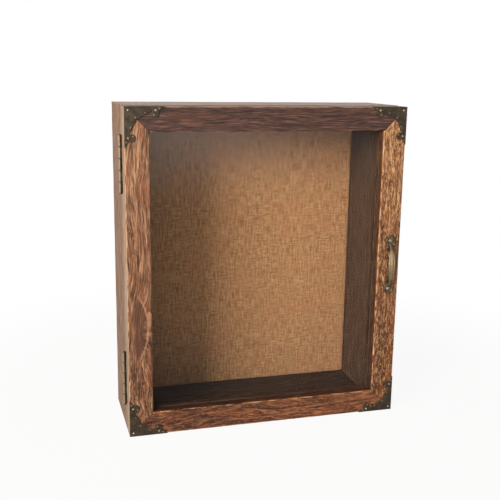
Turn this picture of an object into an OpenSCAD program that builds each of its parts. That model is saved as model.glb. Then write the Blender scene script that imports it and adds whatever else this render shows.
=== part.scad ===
// Glazed display case for fishing lures: a mitred wooden box with a linen-covered
// pin board at its back and a hinged glass door with antique bronze fittings.
// Origin: centre of the case's bottom face. X runs to the right as the viewer sees
// the door, Y runs to the back, Z runs up. All lengths are in millimetres.

/* [Case] */
// Width of the case and of its door
case_w = 296; // [250:1:420]
// Height of the case
case_h = 340; // [290:1:480]
// Depth of the case behind the door
case_d = 84; // [60:1:140]
// Thickness of the two side boards
side_t = 20; // [18:0.5:24]
// Thickness of the top and bottom boards
shelf_t = 13; // [12:0.5:18]
// Width of the rabbet that takes the back board
rabbet_w = 6; // [5:0.5:8]

/* [Door] */
// Thickness of the door frame
door_t = 20; // [19:0.5:26]
// Width of the frame's face
frame_face = 25; // [24:0.5:34]
// Round-over on the frame's inner front edge
inner_round = 2; // [1:0.25:3]
// Round-over on the frame's outer front edge
outer_round = 0.8; // [0.4:0.1:1.4]
// Gap between the back of the door and the front of the case
seam = 0.6; // [0.5:0.1:1]
// Room above and below the door, so that it swings clear of a shelf
door_lift = 0.5; // [0.3:0.1:1.5]

/* [Glass] */
// Thickness of the pane
glass_t = 2; // [2:0.5:3]
// Depth from the frame's face back to the pane
glass_setback = 11; // [9:0.5:12]
// Width of the rebate that holds the pane and its beads
rebate_w = 6; // [5:0.5:7]
// Room left around the pane at its top and sides
glass_gap = 0.5; // [0.2:0.1:1]
// Diameter of the pins that hold the beads
bead_pin_d = 1; // [0.8:0.1:1.4]
// Length of the pins that hold the beads
bead_pin_l = 10; // [9:0.5:12]
// Distance from the corners of the opening to the outer bead pins
bead_pin_from_corner = 48; // [30:1:80]

/* [Back] */
// Thickness of the plywood back board
back_t = 3; // [3:0.5:6]
// Thickness of the soft pin board
pin_board_t = 4; // [3:0.5:10]
// Thickness of the linen
linen_t = 0.7; // [0.4:0.1:1.2]
// Width of the linen that is turned in behind the pin board
linen_turn = 20; // [12:1:40]
// Room around the back board in its rabbet
back_gap = 0.25; // [0.1:0.05:0.6]
// Room around the covered pin board inside the case
panel_gap = 0.3; // [0.2:0.05:0.6]
// Distance from the top and bottom of the case to the outer screws down the sides of the back
back_screw_from_end = 51; // [40:1:80]
// Distance from the sides of the case to the screws along the top and bottom of the back
back_screw_from_side = 74; // [50:1:100]

/* [Hinges] */
// Length of each hinge
hinge_len = 58; // [50:1:80]
// Distance from the end of the case to the nearer end of a hinge
hinge_inset = 29; // [20:1:60]
// Width of a leaf from the side face inwards
leaf_w = 14; // [12:0.5:16]
// Thickness of a leaf
leaf_t = 1; // [0.8:0.1:1.2]
// Diameter of the barrel
barrel_d = 3.5; // [3.3:0.1:4.5]
// Diameter of the hinge pin
hinge_pin_d = 1.6; // [1.4:0.1:1.8]
// Running room around the pin in the door's knuckles
pin_clear = 0.05; // [0.02:0.01:0.08]
// Gap between two knuckles
knuckle_gap = 0.2; // [0.1:0.05:0.4]
// Gap between the barrel and the side face of the case
barrel_stand = 0.25; // [0.2:0.05:0.6]
// Distance from a hinge's ends to its outer screws
hinge_screw_in = 9; // [7:0.5:12]
// Distance from the side face to the middle of a hinge screw
hinge_screw_from_side = 8; // [7:0.5:8.5]

/* [Pull] */
// Overall length of the pull
pull_len = 66; // [60:1:80]
// How far the pull stands out from the frame
pull_reach = 9.5; // [9:0.5:16]
// Thickness of the bow in its middle
bow_t = 3.5; // [3:0.25:4.5]
// Width of the bow in its middle
bow_w = 9; // [7:0.5:11]
// Radius of the round end plates
lobe_r = 6.2; // [5.5:0.1:7]
// Thickness of the end plates
lobe_t = 1.8; // [1.2:0.1:3]
// Length of each foot of the bow on its end plate
bow_foot = 6; // [4:0.5:8]
// Radius of the small beads beside the end plates
collar_r = 1.7; // [1.4:0.1:2]
// Distance from the door's right edge to the middle of the pull
pull_from_edge = 11.5; // [10:0.5:14]

/* [Corner plates] */
// Length of each leg
plate_leg = 40; // [34:1:60]
// Thickness of the sheet
plate_t = 0.8; // [0.5:0.1:1.2]
// Distance from the outer edges to the inner corner
plate_throat = 12.5; // [11:0.5:15]
// Width of each leg over the round lobe near its end
plate_lobe_w = 11; // [9.5:0.5:12]
// Radius of that lobe
plate_lobe_r = 3.9; // [3.5:0.1:4.4]
// Width of each leg where its straight inner edge runs under the lobe
plate_neck_w = 4; // [3.5:0.25:5]
// Height of the pressed ornament above the sheet
emboss_h = 0.4; // [0.2:0.1:0.8]
// Distance from the outer edges to the corner nail
corner_nail_in = 3.8; // [3:0.2:6]
// Distance from the end of a leg to the nail in it
leg_nail_in = 9.5; // [9:0.5:12]
// Diameter of a nail's domed head
nail_head_d = 2.4; // [2:0.1:3.6]
// Height of a nail's domed head
nail_head_h = 0.9; // [0.5:0.1:1.2]
// Diameter of a nail's shank
nail_d = 1.2; // [1:0.1:1.6]
// Length of a nail under its head
nail_l = 9; // [6:0.5:12]

/* [Catch] */
// Diameter of a magnet
magnet_d = 8; // [6:0.5:10]
// Depth of a magnet
magnet_t = 3; // [2:0.5:5]
// Diameter of a steel strike disc
strike_d = 12; // [9:0.5:14]
// Thickness of a strike disc
strike_t = 1; // [0.8:0.1:1.5]
// Distance from the end of the case to a magnet
magnet_from_end = 62; // [50:1:110]
// Diameter of a soft bumper pad
pad_d = 8; // [5:0.5:10]
// Depth of the pocket that holds a pad
pad_pocket = 1.2; // [0.8:0.1:2]
// How far a pad stands out of its pocket
pad_stand = 0.3; // [0.1:0.05:0.3]
// Distance from the end of the case to a pad
pad_from_end = 40; // [30:1:45]

/* [Hangers] */
// Width of a keyhole plate
hanger_w = 11; // [10.5:0.25:11.5]
// Height of a keyhole plate
hanger_h = 36; // [34:1:50]
// Thickness of a keyhole plate
hanger_t = 1.5; // [1:0.1:2.5]
// Radius of the round hole that a screw's head enters
keyhole_r = 4.5; // [4:0.1:4.6]
// Width of the slot that the screw's shank slides up
keyhole_slot = 4.2; // [3:0.1:4.4]
// Height of the slot above the middle of the round hole
keyhole_rise = 10; // [8:0.5:11]
// Depth of the pocket behind the plate
pocket_t = 6; // [4:0.5:12]
// Room around a screw's head in the pocket
pocket_room = 0.3; // [0.1:0.05:0.4]
// Distance from the ends of a keyhole plate to its screws
hanger_screw_in = 4; // [3.5:0.25:4.5]
// Distance from the top of the case to the middle of a hanger
hanger_drop = 46; // [42:1:90]

/* [Fasteners] */
// Head diameter of the small countersunk screws
screw_head_d = 4; // [3.4:0.1:4.6]
// Height of their countersunk heads
screw_head_h = 1; // [0.8:0.1:1.4]
// Shank diameter of the small countersunk screws
screw_d = 2; // [1.6:0.1:2.4]
// Length of the small countersunk screws
screw_l = 9; // [7:0.5:11]
// Width of the slot in a screw's head
driver_slot_w = 0.5; // [0.3:0.1:0.8]
// Depth of the slot in a screw's head
driver_slot_h = 0.4; // [0.2:0.1:0.6]
// Diameter of the domed screws of the pull
pull_screw_head_d = 5.4; // [4.6:0.1:6]
// Height of their domed heads
pull_screw_head_h = 1.4; // [1:0.1:1.8]
// Shank diameter of the pull's screws
pull_screw_d = 2.5; // [2:0.1:3]
// Length of the pull's screws under their heads
pull_screw_l = 14; // [10:0.5:16]
// Diameter of the brads in the case's corners
brad_d = 1.4; // [1.2:0.1:2]
// Length of the brads in the case's corners
brad_l = 30; // [26:1:40]
// Distance from the front and the back of the case to the brads
brad_from_face = 21; // [12:1:26]
// How far the brads are set under the surface
brad_set = 1.5; // [1:0.1:3]
// Length of each leg of the V-nails in the door's corners
v_nail_leg = 6; // [4:0.5:6]
// Distance from the rebate to a V-nail
v_nail_from_rebate = 1; // [0.5:0.5:2]
// Thickness of a V-nail
v_nail_t = 0.6; // [0.4:0.1:0.8]
// Depth of a V-nail in the wood
v_nail_h = 10; // [7:0.5:12]

/* [Hidden] */
$fn = 48;
// A small overshoot, so that no cut ends on the face that it opens
cut = 0.1;

// Radius of the arc over a chord, given half the chord and how far the arc rises over it
function arc_r(half_chord, rise) = (half_chord * half_chord + rise * rise) / (2 * rise);

half_w = case_w / 2;
half_d = case_d / 2;
inner_x = half_w - side_t;
inner_h = case_h - 2 * shelf_t;

// The door: its faces, its ends and the size of its glazed opening
door_back_y = -half_d - seam;
door_front_y = door_back_y - door_t;
door_h = case_h - 2 * door_lift;
door_mid_z = case_h / 2;
sight_w = case_w - 2 * frame_face;
sight_h = door_h - 2 * frame_face;
bead_t = door_t - glass_setback - glass_t;

// The back: a plywood board in the rabbet, with the covered pin board before it
back_y = half_d - back_t;
panel_t = pin_board_t + 2 * linen_t;
panel_w = 2 * (inner_x - panel_gap);
panel_h = inner_h - 2 * panel_gap;
back_screw_x = inner_x + rabbet_w / 2;
back_screw_z = shelf_t - rabbet_w / 2;
back_screw_side_z = [back_screw_from_end, case_h / 2, case_h - back_screw_from_end];
back_screw_end_x = [-half_w + back_screw_from_side, half_w - back_screw_from_side];

// The hinge line runs up the left side, in the middle of the seam
hinge_x = -half_w - barrel_stand - barrel_d / 2;
hinge_y = -half_d - seam / 2;
upper_hinge_z = case_h - hinge_inset - hinge_len;
lower_hinge_z = hinge_inset;
knuckles = 5;
knuckle_l = (hinge_len - (knuckles - 1) * knuckle_gap) / knuckles;
// Height of the riveted ends of a hinge pin
pin_head_h = 0.6;
// How far the tongue of a knuckle runs into its leaf
tongue_lap = 3;
hinge_screw_x = -half_w + hinge_screw_from_side;
hinge_screw_zs = [hinge_screw_in, hinge_len / 2, hinge_len - hinge_screw_in];

// The catch, the pads and the hangers sit in the edges of the side boards
right_edge_x = half_w - side_t / 2;
magnet_zs = [magnet_from_end, case_h - magnet_from_end];
pad_zs = [pad_from_end, case_h - pad_from_end];
hanger_x = half_w - (side_t - rabbet_w) / 2;
hanger_z = case_h - hanger_drop;
keyhole_z = -keyhole_rise / 2;
hanger_screw_z = hanger_h / 2 - hanger_screw_in;

// Corner nails: one in the corner and one near the end of each leg
nail_far = plate_leg - leg_nail_in;
nail_spots = [[corner_nail_in, corner_nail_in], [nail_far, corner_nail_in], [corner_nail_in, nail_far]];
lobe_at = [nail_far, plate_lobe_w - plate_lobe_r];
// The straight inner edge ends within the lobe, so that a notch is left beside it
neck_at = [nail_far - plate_lobe_r / 2, plate_neck_w];
// The lobe in the plate's inner corner, and the widths of the pressed fan and rim
corner_lobe_r = 2;
fan_r = 6;
fan_step = 3;
fan_lines = 3;
press_w = 1;
// How far the pressed rim lies inside the plate's edges, and the ring inside its lobe
rim_in = 0.4;
ring_in = 0.7;
// The small pressed beads, and how far they rise above the other ornament
plate_bead_d = 2;
plate_bead_rise = 0.2;
corner_bead_in = plate_throat - 0.75 * plate_bead_d;
bead_spots = [
    [corner_bead_in, corner_bead_in],
    [nail_far, plate_lobe_w - plate_bead_d],
    [plate_lobe_w - plate_bead_d, nail_far],
    [nail_far + 2 * plate_bead_d, plate_bead_d],
    [plate_bead_d, nail_far + 2 * plate_bead_d]
];

// The pull: its two arcs in side view and its leaf outline in front view
pull_x = half_w - pull_from_edge;
lobe_z = pull_len / 2 - lobe_r;
bow_half_l = lobe_z - lobe_r / 2;
bow_inner_half_l = bow_half_l - bow_foot;
bow_outer_r = arc_r(bow_half_l, pull_reach);
bow_inner_r = arc_r(bow_inner_half_l, pull_reach - bow_t);
bow_leaf_r = arc_r(pull_len / 2, bow_w / 2);
// Two beads on each side of each end, the second nearer to the bow by this much
bead_step_x = 1.2;
bead_step_z = 2.9;
collar_spots = [for (side = [-1, 1], end = [-1, 1], i = [0, 1])
    [
        side * (lobe_r - collar_r - i * bead_step_x),
        end * (lobe_z - lobe_r + collar_r / 2 - i * bead_step_z)
    ]
];
// The neck that joins an end plate to the bow, and the room around the head of its screw
neck_w = 7;
neck_h = 6;
head_room = 0.2;
// Faces in a turn of the bow's long arcs
side_arc_fn = 96;
leaf_arc_fn = 192;

wood = [0.53, 0.34, 0.22];
dark_wood = [0.30, 0.20, 0.14];
bronze = [0.34, 0.28, 0.19];
steel = [0.72, 0.71, 0.68];

// A child drawn in front view, X to the right and Y up, run back from the plane y = 0
module front_outline(depth) {
    translate([0, depth, 0])
        rotate([90, 0, 0])
            linear_extrude(depth)
                children();
}

// A countersunk screw with its head's top at the origin and its shank down -Z. As a hole in a
// plate it also opens above the head by the height given
module countersunk_form(open = 0) {
    translate([0, 0, -screw_head_h])
        cylinder(h = screw_head_h, d1 = screw_d, d2 = screw_head_d);
    translate([0, 0, -screw_l])
        cylinder(h = screw_l - screw_head_h, d = screw_d);
    if (open > 0)
        cylinder(h = open, d = screw_head_d);
}

module countersunk_screw() {
    difference() {
        countersunk_form();
        translate([-screw_head_d, -driver_slot_w / 2, -driver_slot_h])
            cube([2 * screw_head_d, driver_slot_w, driver_slot_h + cut]);
    }
}

// A dome of a given diameter and height, standing on z = 0
module dome(d, h) {
    r = arc_r(d / 2, h);
    intersection() {
        translate([0, 0, h - r])
            sphere(r);
        cylinder(h = h + cut, d = d);
    }
}

// The case

module side_blank() {
    translate([0, -half_d, 0])
        front_outline(case_d)
            polygon([[-half_w, 0], [-inner_x, shelf_t], [-inner_x, case_h - shelf_t], [-half_w, case_h]]);
}

module bottom_blank() {
    translate([0, -half_d, 0])
        front_outline(case_d)
            polygon([[-half_w, 0], [half_w, 0], [inner_x, shelf_t], [-inner_x, shelf_t]]);
}

module upside_down() {
    translate([0, 0, case_h])
        mirror([0, 0, 1])
            children();
}

module back_rabbet() {
    translate([-inner_x - rabbet_w, back_y, shelf_t - rabbet_w])
        cube([2 * (inner_x + rabbet_w), back_t + cut, inner_h + 2 * rabbet_w]);
}

module each_back_screw() {
    for (x = [-back_screw_x, back_screw_x], z = back_screw_side_z)
        translate([x, half_d, z])
            rotate([-90, 0, 0])
                children();
    for (x = back_screw_end_x, z = [back_screw_z, case_h - back_screw_z])
        translate([x, half_d, z])
            rotate([-90, 0, 0])
                children();
}

module each_brad() {
    brad_y = half_d - brad_from_face;
    for (side = [0, 1], z = [shelf_t / 2, case_h - shelf_t / 2], y = [-brad_y, brad_y])
        mirror([side, 0, 0])
            translate([-half_w + brad_set, y, z])
                rotate([0, 90, 0])
                    cylinder(h = brad_l, d = brad_d);
}

// Places a child, drawn with its middle at the origin, at each hanger's place
module at_hanger(side) {
    translate([side * hanger_x, half_d, hanger_z])
        children();
}

// The slot and round hole of a keyhole, in front view, made larger by grow all round
module keyhole(grow) {
    translate([0, keyhole_z])
        circle(keyhole_r + grow);
    translate([-keyhole_slot / 2 - grow, keyhole_z])
        square([keyhole_slot + 2 * grow, keyhole_rise]);
    translate([0, keyhole_z + keyhole_rise])
        circle(keyhole_slot / 2 + grow);
}

// The pocket behind the plate, as wide as the round hole all the way up
module keyhole_pocket() {
    pocket_r = keyhole_r + pocket_room;
    translate([0, keyhole_z])
        circle(pocket_r);
    translate([-pocket_r, keyhole_z])
        square([2 * pocket_r, keyhole_rise]);
    translate([0, keyhole_z + keyhole_rise])
        circle(pocket_r);
}

module hanger_recess(side) {
    at_hanger(side) {
        translate([-hanger_w / 2, -hanger_t, -hanger_h / 2])
            cube([hanger_w, hanger_t + cut, hanger_h]);
        translate([0, -hanger_t - pocket_t, 0])
            front_outline(pocket_t + cut)
                keyhole_pocket();
        hanger_screw_places()
            countersunk_form();
    }
}

module hanger_screw_places() {
    for (z = [-hanger_screw_z, hanger_screw_z])
        translate([0, 0, z])
            rotate([-90, 0, 0])
                children();
}

module keyhole_hanger(side) {
    color(steel)
        at_hanger(side)
            difference() {
                translate([-hanger_w / 2, -hanger_t, -hanger_h / 2])
                    cube([hanger_w, hanger_t, hanger_h]);
                translate([0, -hanger_t - cut, 0])
                    front_outline(hanger_t + 2 * cut)
                        keyhole(0);
                hanger_screw_places()
                    countersunk_form(cut);
            }
}

// The shallow seat of a hinge leaf, from the plane y towards the back
module leaf_mortise(z, y) {
    translate([-half_w - cut, y, z])
        cube([leaf_w + cut, leaf_t + cut, hinge_len]);
}

module case_left_side() {
    color(wood)
        difference() {
            side_blank();
            back_rabbet();
            each_back_screw()
                countersunk_form();
            each_brad();
            hanger_recess(-1);
            for (z = [upper_hinge_z, lower_hinge_z])
                leaf_mortise(z, -half_d - cut);
            case_hinge_screw_places()
                countersunk_form();
        }
}

module case_right_side() {
    color(wood)
        difference() {
            mirror([1, 0, 0])
                side_blank();
            back_rabbet();
            each_back_screw()
                countersunk_form();
            each_brad();
            hanger_recess(1);
            for (z = magnet_zs)
                front_pocket(z, magnet_d, magnet_t);
            for (z = pad_zs)
                front_pocket(z, pad_d, pad_pocket);
        }
}

// A round pocket in the front edge of the right side board
module front_pocket(z, d, depth) {
    translate([right_edge_x, -half_d - cut, z])
        rotate([-90, 0, 0])
            cylinder(h = depth + cut, d = d);
}

module case_bottom_board() {
    color(wood)
        difference() {
            bottom_blank();
            back_rabbet();
            each_back_screw()
                countersunk_form();
            each_brad();
        }
}

module case_top_board() {
    color(wood)
        difference() {
            upside_down()
                bottom_blank();
            back_rabbet();
            each_back_screw()
                countersunk_form();
            each_brad();
        }
}

module case_corner_brads() {
    color(steel)
        each_brad();
}

module back_board() {
    color(dark_wood)
        difference() {
            translate([-inner_x - rabbet_w + back_gap, back_y, shelf_t - rabbet_w + back_gap])
                cube([2 * (inner_x + rabbet_w - back_gap), back_t, inner_h + 2 * (rabbet_w - back_gap)]);
            each_back_screw()
                countersunk_form(cut);
        }
}

module back_board_screws() {
    color(steel)
        each_back_screw()
            countersunk_screw();
}

module pin_board() {
    color([0.62, 0.50, 0.36])
        translate([-panel_w / 2 + linen_t, back_y - linen_t - pin_board_t, shelf_t + panel_gap + linen_t])
            cube([panel_w - 2 * linen_t, pin_board_t, panel_h - 2 * linen_t]);
}

// One piece of linen over the front and edges of the pin board, turned in behind it
module linen_cover() {
    turned = linen_t + linen_turn;
    color([0.62, 0.47, 0.33])
        translate([-panel_w / 2, back_y - panel_t, shelf_t + panel_gap])
            difference() {
                cube([panel_w, panel_t, panel_h]);
                translate([linen_t, linen_t, linen_t])
                    cube([panel_w - 2 * linen_t, pin_board_t, panel_h - 2 * linen_t]);
                translate([turned, panel_t - linen_t - cut, turned])
                    cube([panel_w - 2 * turned, linen_t + 2 * cut, panel_h - 2 * turned]);
            }
}

module hanger_screws() {
    color(steel)
        for (side = [-1, 1])
            at_hanger(side)
                hanger_screw_places()
                    countersunk_screw();
}

module catch_magnets() {
    color([0.40, 0.40, 0.42])
        for (z = magnet_zs)
            translate([right_edge_x, -half_d, z])
                rotate([-90, 0, 0])
                    cylinder(h = magnet_t, d = magnet_d);
}

module bumper_pads() {
    color([0.18, 0.16, 0.15])
        for (z = pad_zs)
            translate([right_edge_x, -half_d - pad_stand, z])
                rotate([-90, 0, 0])
                    cylinder(h = pad_pocket + pad_stand, d = pad_d);
}

// The hinges

// One knuckle with the tongue that joins it to its leaf, whose near face is at y
module knuckle(i, y) {
    translate([0, 0, i * (knuckle_l + knuckle_gap)]) {
        translate([hinge_x, hinge_y, 0])
            cylinder(h = knuckle_l, d = barrel_d);
        translate([hinge_x, y, 0])
            cube([-half_w - hinge_x + tongue_lap, leaf_t, knuckle_l]);
    }
}

module hinge_leaf(z, y, first, bore_d) {
    translate([0, 0, z])
        difference() {
            union() {
                translate([-half_w, y, 0])
                    cube([leaf_w, leaf_t, hinge_len]);
                for (i = [first : 2 : knuckles - 1])
                    knuckle(i, y);
            }
            translate([hinge_x, hinge_y, -cut])
                cylinder(h = hinge_len + 2 * cut, d = bore_d);
            children();
        }
}

module case_hinge_screw_places() {
    for (z = [upper_hinge_z, lower_hinge_z])
        translate([0, -half_d, z])
            leaf_screw_places(90)
                children();
}

module door_hinge_screw_places() {
    for (z = [upper_hinge_z, lower_hinge_z])
        translate([0, door_back_y, z])
            leaf_screw_places(-90)
                children();
}

module leaf_screw_places(turn) {
    for (z = hinge_screw_zs)
        translate([hinge_screw_x, 0, z])
            rotate([turn, 0, 0])
                children();
}

module case_leaf(z) {
    color(bronze)
        hinge_leaf(z, -half_d, 0, hinge_pin_d)
            translate([0, -half_d, 0])
                leaf_screw_places(90)
                    countersunk_form(cut);
}

module door_leaf(z) {
    color(bronze)
        hinge_leaf(z, door_back_y - leaf_t, 1, hinge_pin_d + 2 * pin_clear)
            translate([0, door_back_y, 0])
                leaf_screw_places(-90)
                    countersunk_form(cut);
}

module hinge_pin(z) {
    color(bronze)
        translate([hinge_x, hinge_y, z]) {
            cylinder(h = hinge_len, d = hinge_pin_d);
            for (end_z = [-pin_head_h, hinge_len])
                translate([0, 0, end_z])
                    cylinder(h = pin_head_h, d = (barrel_d + hinge_pin_d) / 2);
        }
}

module case_hinge_screws() {
    color(bronze)
        case_hinge_screw_places()
            countersunk_screw();
}

module door_hinge_screws() {
    color(bronze)
        door_hinge_screw_places()
            countersunk_screw();
}

// The door

// Section of a frame member: depth from the face along X, width from the outer edge along Y
module frame_section() {
    difference() {
        square([door_t, frame_face]);
        translate([glass_setback, frame_face - rebate_w])
            square([door_t, rebate_w + cut]);
        translate([0, frame_face])
            mirror([0, 1])
                corner_round(inner_round);
        corner_round(outer_round);
    }
}

// The waste outside a quarter circle, in the corner at the origin
module corner_round(r) {
    difference() {
        translate([-cut, -cut])
            square(r + cut);
        translate([r, r])
            circle(r);
    }
}

// A member along X with its outer edge on z = 0 and its face on y = 0, mitred at both ends
module frame_member(length) {
    intersection() {
        translate([-length / 2, 0, 0])
            rotate([90, 0, 90])
                linear_extrude(length)
                    frame_section();
        front_outline(door_t)
            polygon([
                [-length / 2, 0],
                [length / 2, 0],
                [length / 2 - frame_face, frame_face],
                [-length / 2 + frame_face, frame_face]
            ]);
    }
}

// A child drawn as a bottom member, moved to one side of the door
module on_door_side(side) {
    place = [["bottom", 0], ["right", -90], ["top", 180], ["left", 90]];
    turn = [for (p = place) if (p[0] == side) p[1]][0];
    reach = (side == "left" || side == "right") ? half_w : door_h / 2;
    translate([0, door_front_y, door_mid_z])
        rotate([0, turn, 0])
            translate([0, 0, -reach])
                children();
}

module stile(side) {
    on_door_side(side)
        frame_member(door_h);
}

module rail(side) {
    on_door_side(side)
        frame_member(case_w);
}

// Places a child in each corner of the door's front, drawn for the bottom left corner
module in_door_corner(right, top) {
    translate([0, 0, door_mid_z])
        mirror([right, 0, 0])
            mirror([0, 0, top])
                translate([-half_w, door_front_y, -door_h / 2])
                    children();
}

module each_door_corner() {
    for (right = [0, 1], top = [0, 1])
        in_door_corner(right, top)
            children();
}

// A V-nail pressed into the back of a mitre, its point on the joint line
module v_nail() {
    point = frame_face - rebate_w - v_nail_leg - v_nail_from_rebate;
    translate([point, door_t - v_nail_h, point]) {
        cube([v_nail_leg, v_nail_h, v_nail_t]);
        cube([v_nail_t, v_nail_h, v_nail_leg]);
    }
}

module door_v_nails() {
    color(steel)
        each_door_corner()
            v_nail();
}

module each_nail_place() {
    each_door_corner()
        for (spot = nail_spots)
            translate([spot[0], -plate_t, spot[1]])
                rotate([90, 0, 0])
                    children();
}

module each_bead_pin() {
    pin_depth = glass_setback + glass_t + bead_t / 2;
    rail_x = sight_w / 2 - bead_pin_from_corner;
    stile_x = sight_h / 2 - bead_pin_from_corner;
    for (side = ["bottom", "top"], x = [-rail_x, rail_x])
        on_door_side(side)
            translate([x, pin_depth, frame_face - bead_pin_l])
                cylinder(h = bead_pin_l, d = bead_pin_d);
    for (side = ["left", "right"], x = [-stile_x, 0, stile_x])
        on_door_side(side)
            translate([x, pin_depth, frame_face - bead_pin_l])
                cylinder(h = bead_pin_l, d = bead_pin_d);
}

// Everything that is driven or let into the frame's members
module frame_cuts() {
    door_v_nails();
    each_bead_pin();
    each_nail_place()
        translate([0, 0, -nail_l])
            cylinder(h = nail_l, d = nail_d);
}

module door_left_stile() {
    color(wood)
        difference() {
            stile("left");
            frame_cuts();
            for (z = [upper_hinge_z, lower_hinge_z])
                leaf_mortise(z, door_back_y - leaf_t);
            door_hinge_screw_places()
                countersunk_form();
        }
}

module door_right_stile() {
    color(wood)
        difference() {
            stile("right");
            frame_cuts();
            each_strike()
                translate([0, 0, -strike_t])
                    cylinder(h = strike_t + cut, d = strike_d);
            each_strike()
                countersunk_form();
            each_pull_screw()
                cylinder(h = pull_screw_l + cut, d = pull_screw_d);
        }
}

module door_top_rail() {
    color(wood)
        difference() {
            rail("top");
            frame_cuts();
        }
}

module door_bottom_rail() {
    color(wood)
        difference() {
            rail("bottom");
            frame_cuts();
        }
}

module glass_pane() {
    pane_w = sight_w + 2 * (rebate_w - glass_gap);
    pane_h = sight_h + 2 * rebate_w - glass_gap;
    color([0.80, 0.88, 0.88, 0.35])
        translate([-pane_w / 2, door_front_y + glass_setback, door_mid_z - sight_h / 2 - rebate_w])
            cube([pane_w, glass_t, pane_h]);
}

// A bead fills its side of the rebate behind the pane and is mitred to its neighbours
module glass_bead(side, length) {
    outer = frame_face - rebate_w;
    half_l = length / 2 - outer;
    color(dark_wood)
        difference() {
            on_door_side(side)
                translate([0, glass_setback + glass_t, 0])
                    front_outline(bead_t)
                        polygon([
                            [-half_l, outer],
                            [half_l, outer],
                            [half_l - rebate_w, frame_face],
                            [-half_l + rebate_w, frame_face]
                        ]);
            each_bead_pin();
        }
}

module glass_bead_pins() {
    color(steel)
        each_bead_pin();
}

// The bronze fittings on the door's face

// Outline of a corner plate for the bottom left corner of the door
module plate_outline() {
    polygon([
        [0, 0],
        [plate_leg, 0],
        lobe_at,
        neck_at,
        [plate_throat, plate_throat],
        [neck_at[1], neck_at[0]],
        [lobe_at[1], lobe_at[0]],
        [0, plate_leg]
    ]);
    each_leg(lobe_at)
        circle(plate_lobe_r);
    translate([plate_throat - corner_lobe_r / 2, plate_throat - corner_lobe_r / 2])
        circle(corner_lobe_r);
}

// Places a child at a spot of the leg along X, and at the same spot of the other leg
module each_leg(spot) {
    translate(spot)
        children();
    translate([spot[1], spot[0]])
        children();
}

// Pressed ornament: a fan of crescents in the corner, a ring in each lobe and a rim
module plate_ornament() {
    for (i = [0 : fan_lines - 1])
        intersection() {
            plate_outline();
            translate([corner_nail_in, corner_nail_in])
                difference() {
                    circle(fan_r + i * fan_step);
                    circle(fan_r + i * fan_step - press_w);
                }
        }
    each_leg(lobe_at)
        difference() {
            circle(plate_lobe_r - ring_in);
            circle(plate_lobe_r - ring_in - press_w);
        }
    intersection() {
        plate_outline();
        translate([rim_in, rim_in])
            difference() {
                square(plate_leg);
                translate([press_w, press_w])
                    square(plate_leg);
            }
    }
}

module plate_beads() {
    for (spot = bead_spots)
        translate([spot[0], -plate_t, spot[1]])
            rotate([90, 0, 0])
                dome(plate_bead_d, emboss_h + plate_bead_rise);
}

module corner_plate(right, top) {
    color(bronze)
        in_door_corner(right, top)
            difference() {
                union() {
                    translate([0, -plate_t, 0])
                        front_outline(plate_t)
                            plate_outline();
                    translate([0, -plate_t - emboss_h, 0])
                        front_outline(emboss_h)
                            plate_ornament();
                    plate_beads();
                }
                for (spot = nail_spots)
                    translate([spot[0], cut, spot[1]])
                        rotate([90, 0, 0]) {
                            cylinder(h = 2 * plate_t + cut, d = nail_d);
                            translate([0, 0, plate_t + cut])
                                cylinder(h = emboss_h + plate_t, d = nail_head_d);
                        }
            }
}

module corner_plate_nails() {
    color([0.78, 0.73, 0.66])
        each_nail_place() {
            dome(nail_head_d, nail_head_h);
            translate([0, 0, -nail_l])
                cylinder(h = nail_l, d = nail_d);
        }
}

module at_pull() {
    translate([pull_x, door_front_y, door_mid_z])
        children();
}

// The bow is where its side view, a crescent, meets its front view, a slender leaf
module pull_bow() {
    intersection() {
        translate([-bow_w, 0, 0])
            rotate([90, 0, 90])
                linear_extrude(2 * bow_w)
                    difference() {
                        translate([bow_outer_r - pull_reach, 0])
                            circle(bow_outer_r, $fn = side_arc_fn);
                        translate([bow_inner_r - pull_reach + bow_t, 0])
                            circle(bow_inner_r, $fn = side_arc_fn);
                        translate([0, -pull_len])
                            square(2 * pull_len);
                    }
        translate([0, -pull_reach - cut, 0])
            front_outline(pull_reach + 2 * cut)
                intersection() {
                    translate([bow_leaf_r - bow_w / 2, 0])
                        circle(bow_leaf_r, $fn = leaf_arc_fn);
                    translate([bow_w / 2 - bow_leaf_r, 0])
                        circle(bow_leaf_r, $fn = leaf_arc_fn);
                    square([bow_w, 2 * bow_half_l], center = true);
                }
    }
}

module pull_handle() {
    color(bronze)
        at_pull()
            difference() {
                union() {
                    pull_bow();
                    for (z = [-lobe_z, lobe_z])
                        translate([0, 0, z])
                            rotate([90, 0, 0])
                                cylinder(h = lobe_t, r = lobe_r);
                    for (spot = collar_spots)
                        translate([spot[0], 0, spot[1]])
                            rotate([90, 0, 0])
                                cylinder(h = lobe_t, r = collar_r);
                    for (z = [-lobe_z + lobe_r, lobe_z - lobe_r])
                        translate([-neck_w / 2, -lobe_t, z - neck_h / 2])
                            cube([neck_w, lobe_t, neck_h]);
                }
                for (z = [-lobe_z, lobe_z])
                    translate([0, cut, z])
                        rotate([90, 0, 0])
                            cylinder(h = lobe_t + 2 * cut, d = pull_screw_d);
                for (z = [-lobe_z, lobe_z])
                    translate([0, -lobe_t, z])
                        rotate([90, 0, 0])
                            cylinder(h = pull_reach, d = pull_screw_head_d + 2 * head_room);
            }
}

module each_pull_screw() {
    at_pull()
        for (z = [-lobe_z, lobe_z])
            translate([0, -cut, z])
                rotate([-90, 0, 0])
                    children();
}

// A domed screw with the underside of its head at the origin and its shank down -Z
module domed_screw() {
    difference() {
        dome(pull_screw_head_d, pull_screw_head_h);
        translate([-pull_screw_head_d, -driver_slot_w / 2, pull_screw_head_h - driver_slot_h])
            cube([2 * pull_screw_head_d, driver_slot_w, driver_slot_h + cut]);
    }
    translate([0, 0, -pull_screw_l - lobe_t])
        cylinder(h = pull_screw_l + lobe_t, d = pull_screw_d);
}

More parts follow.
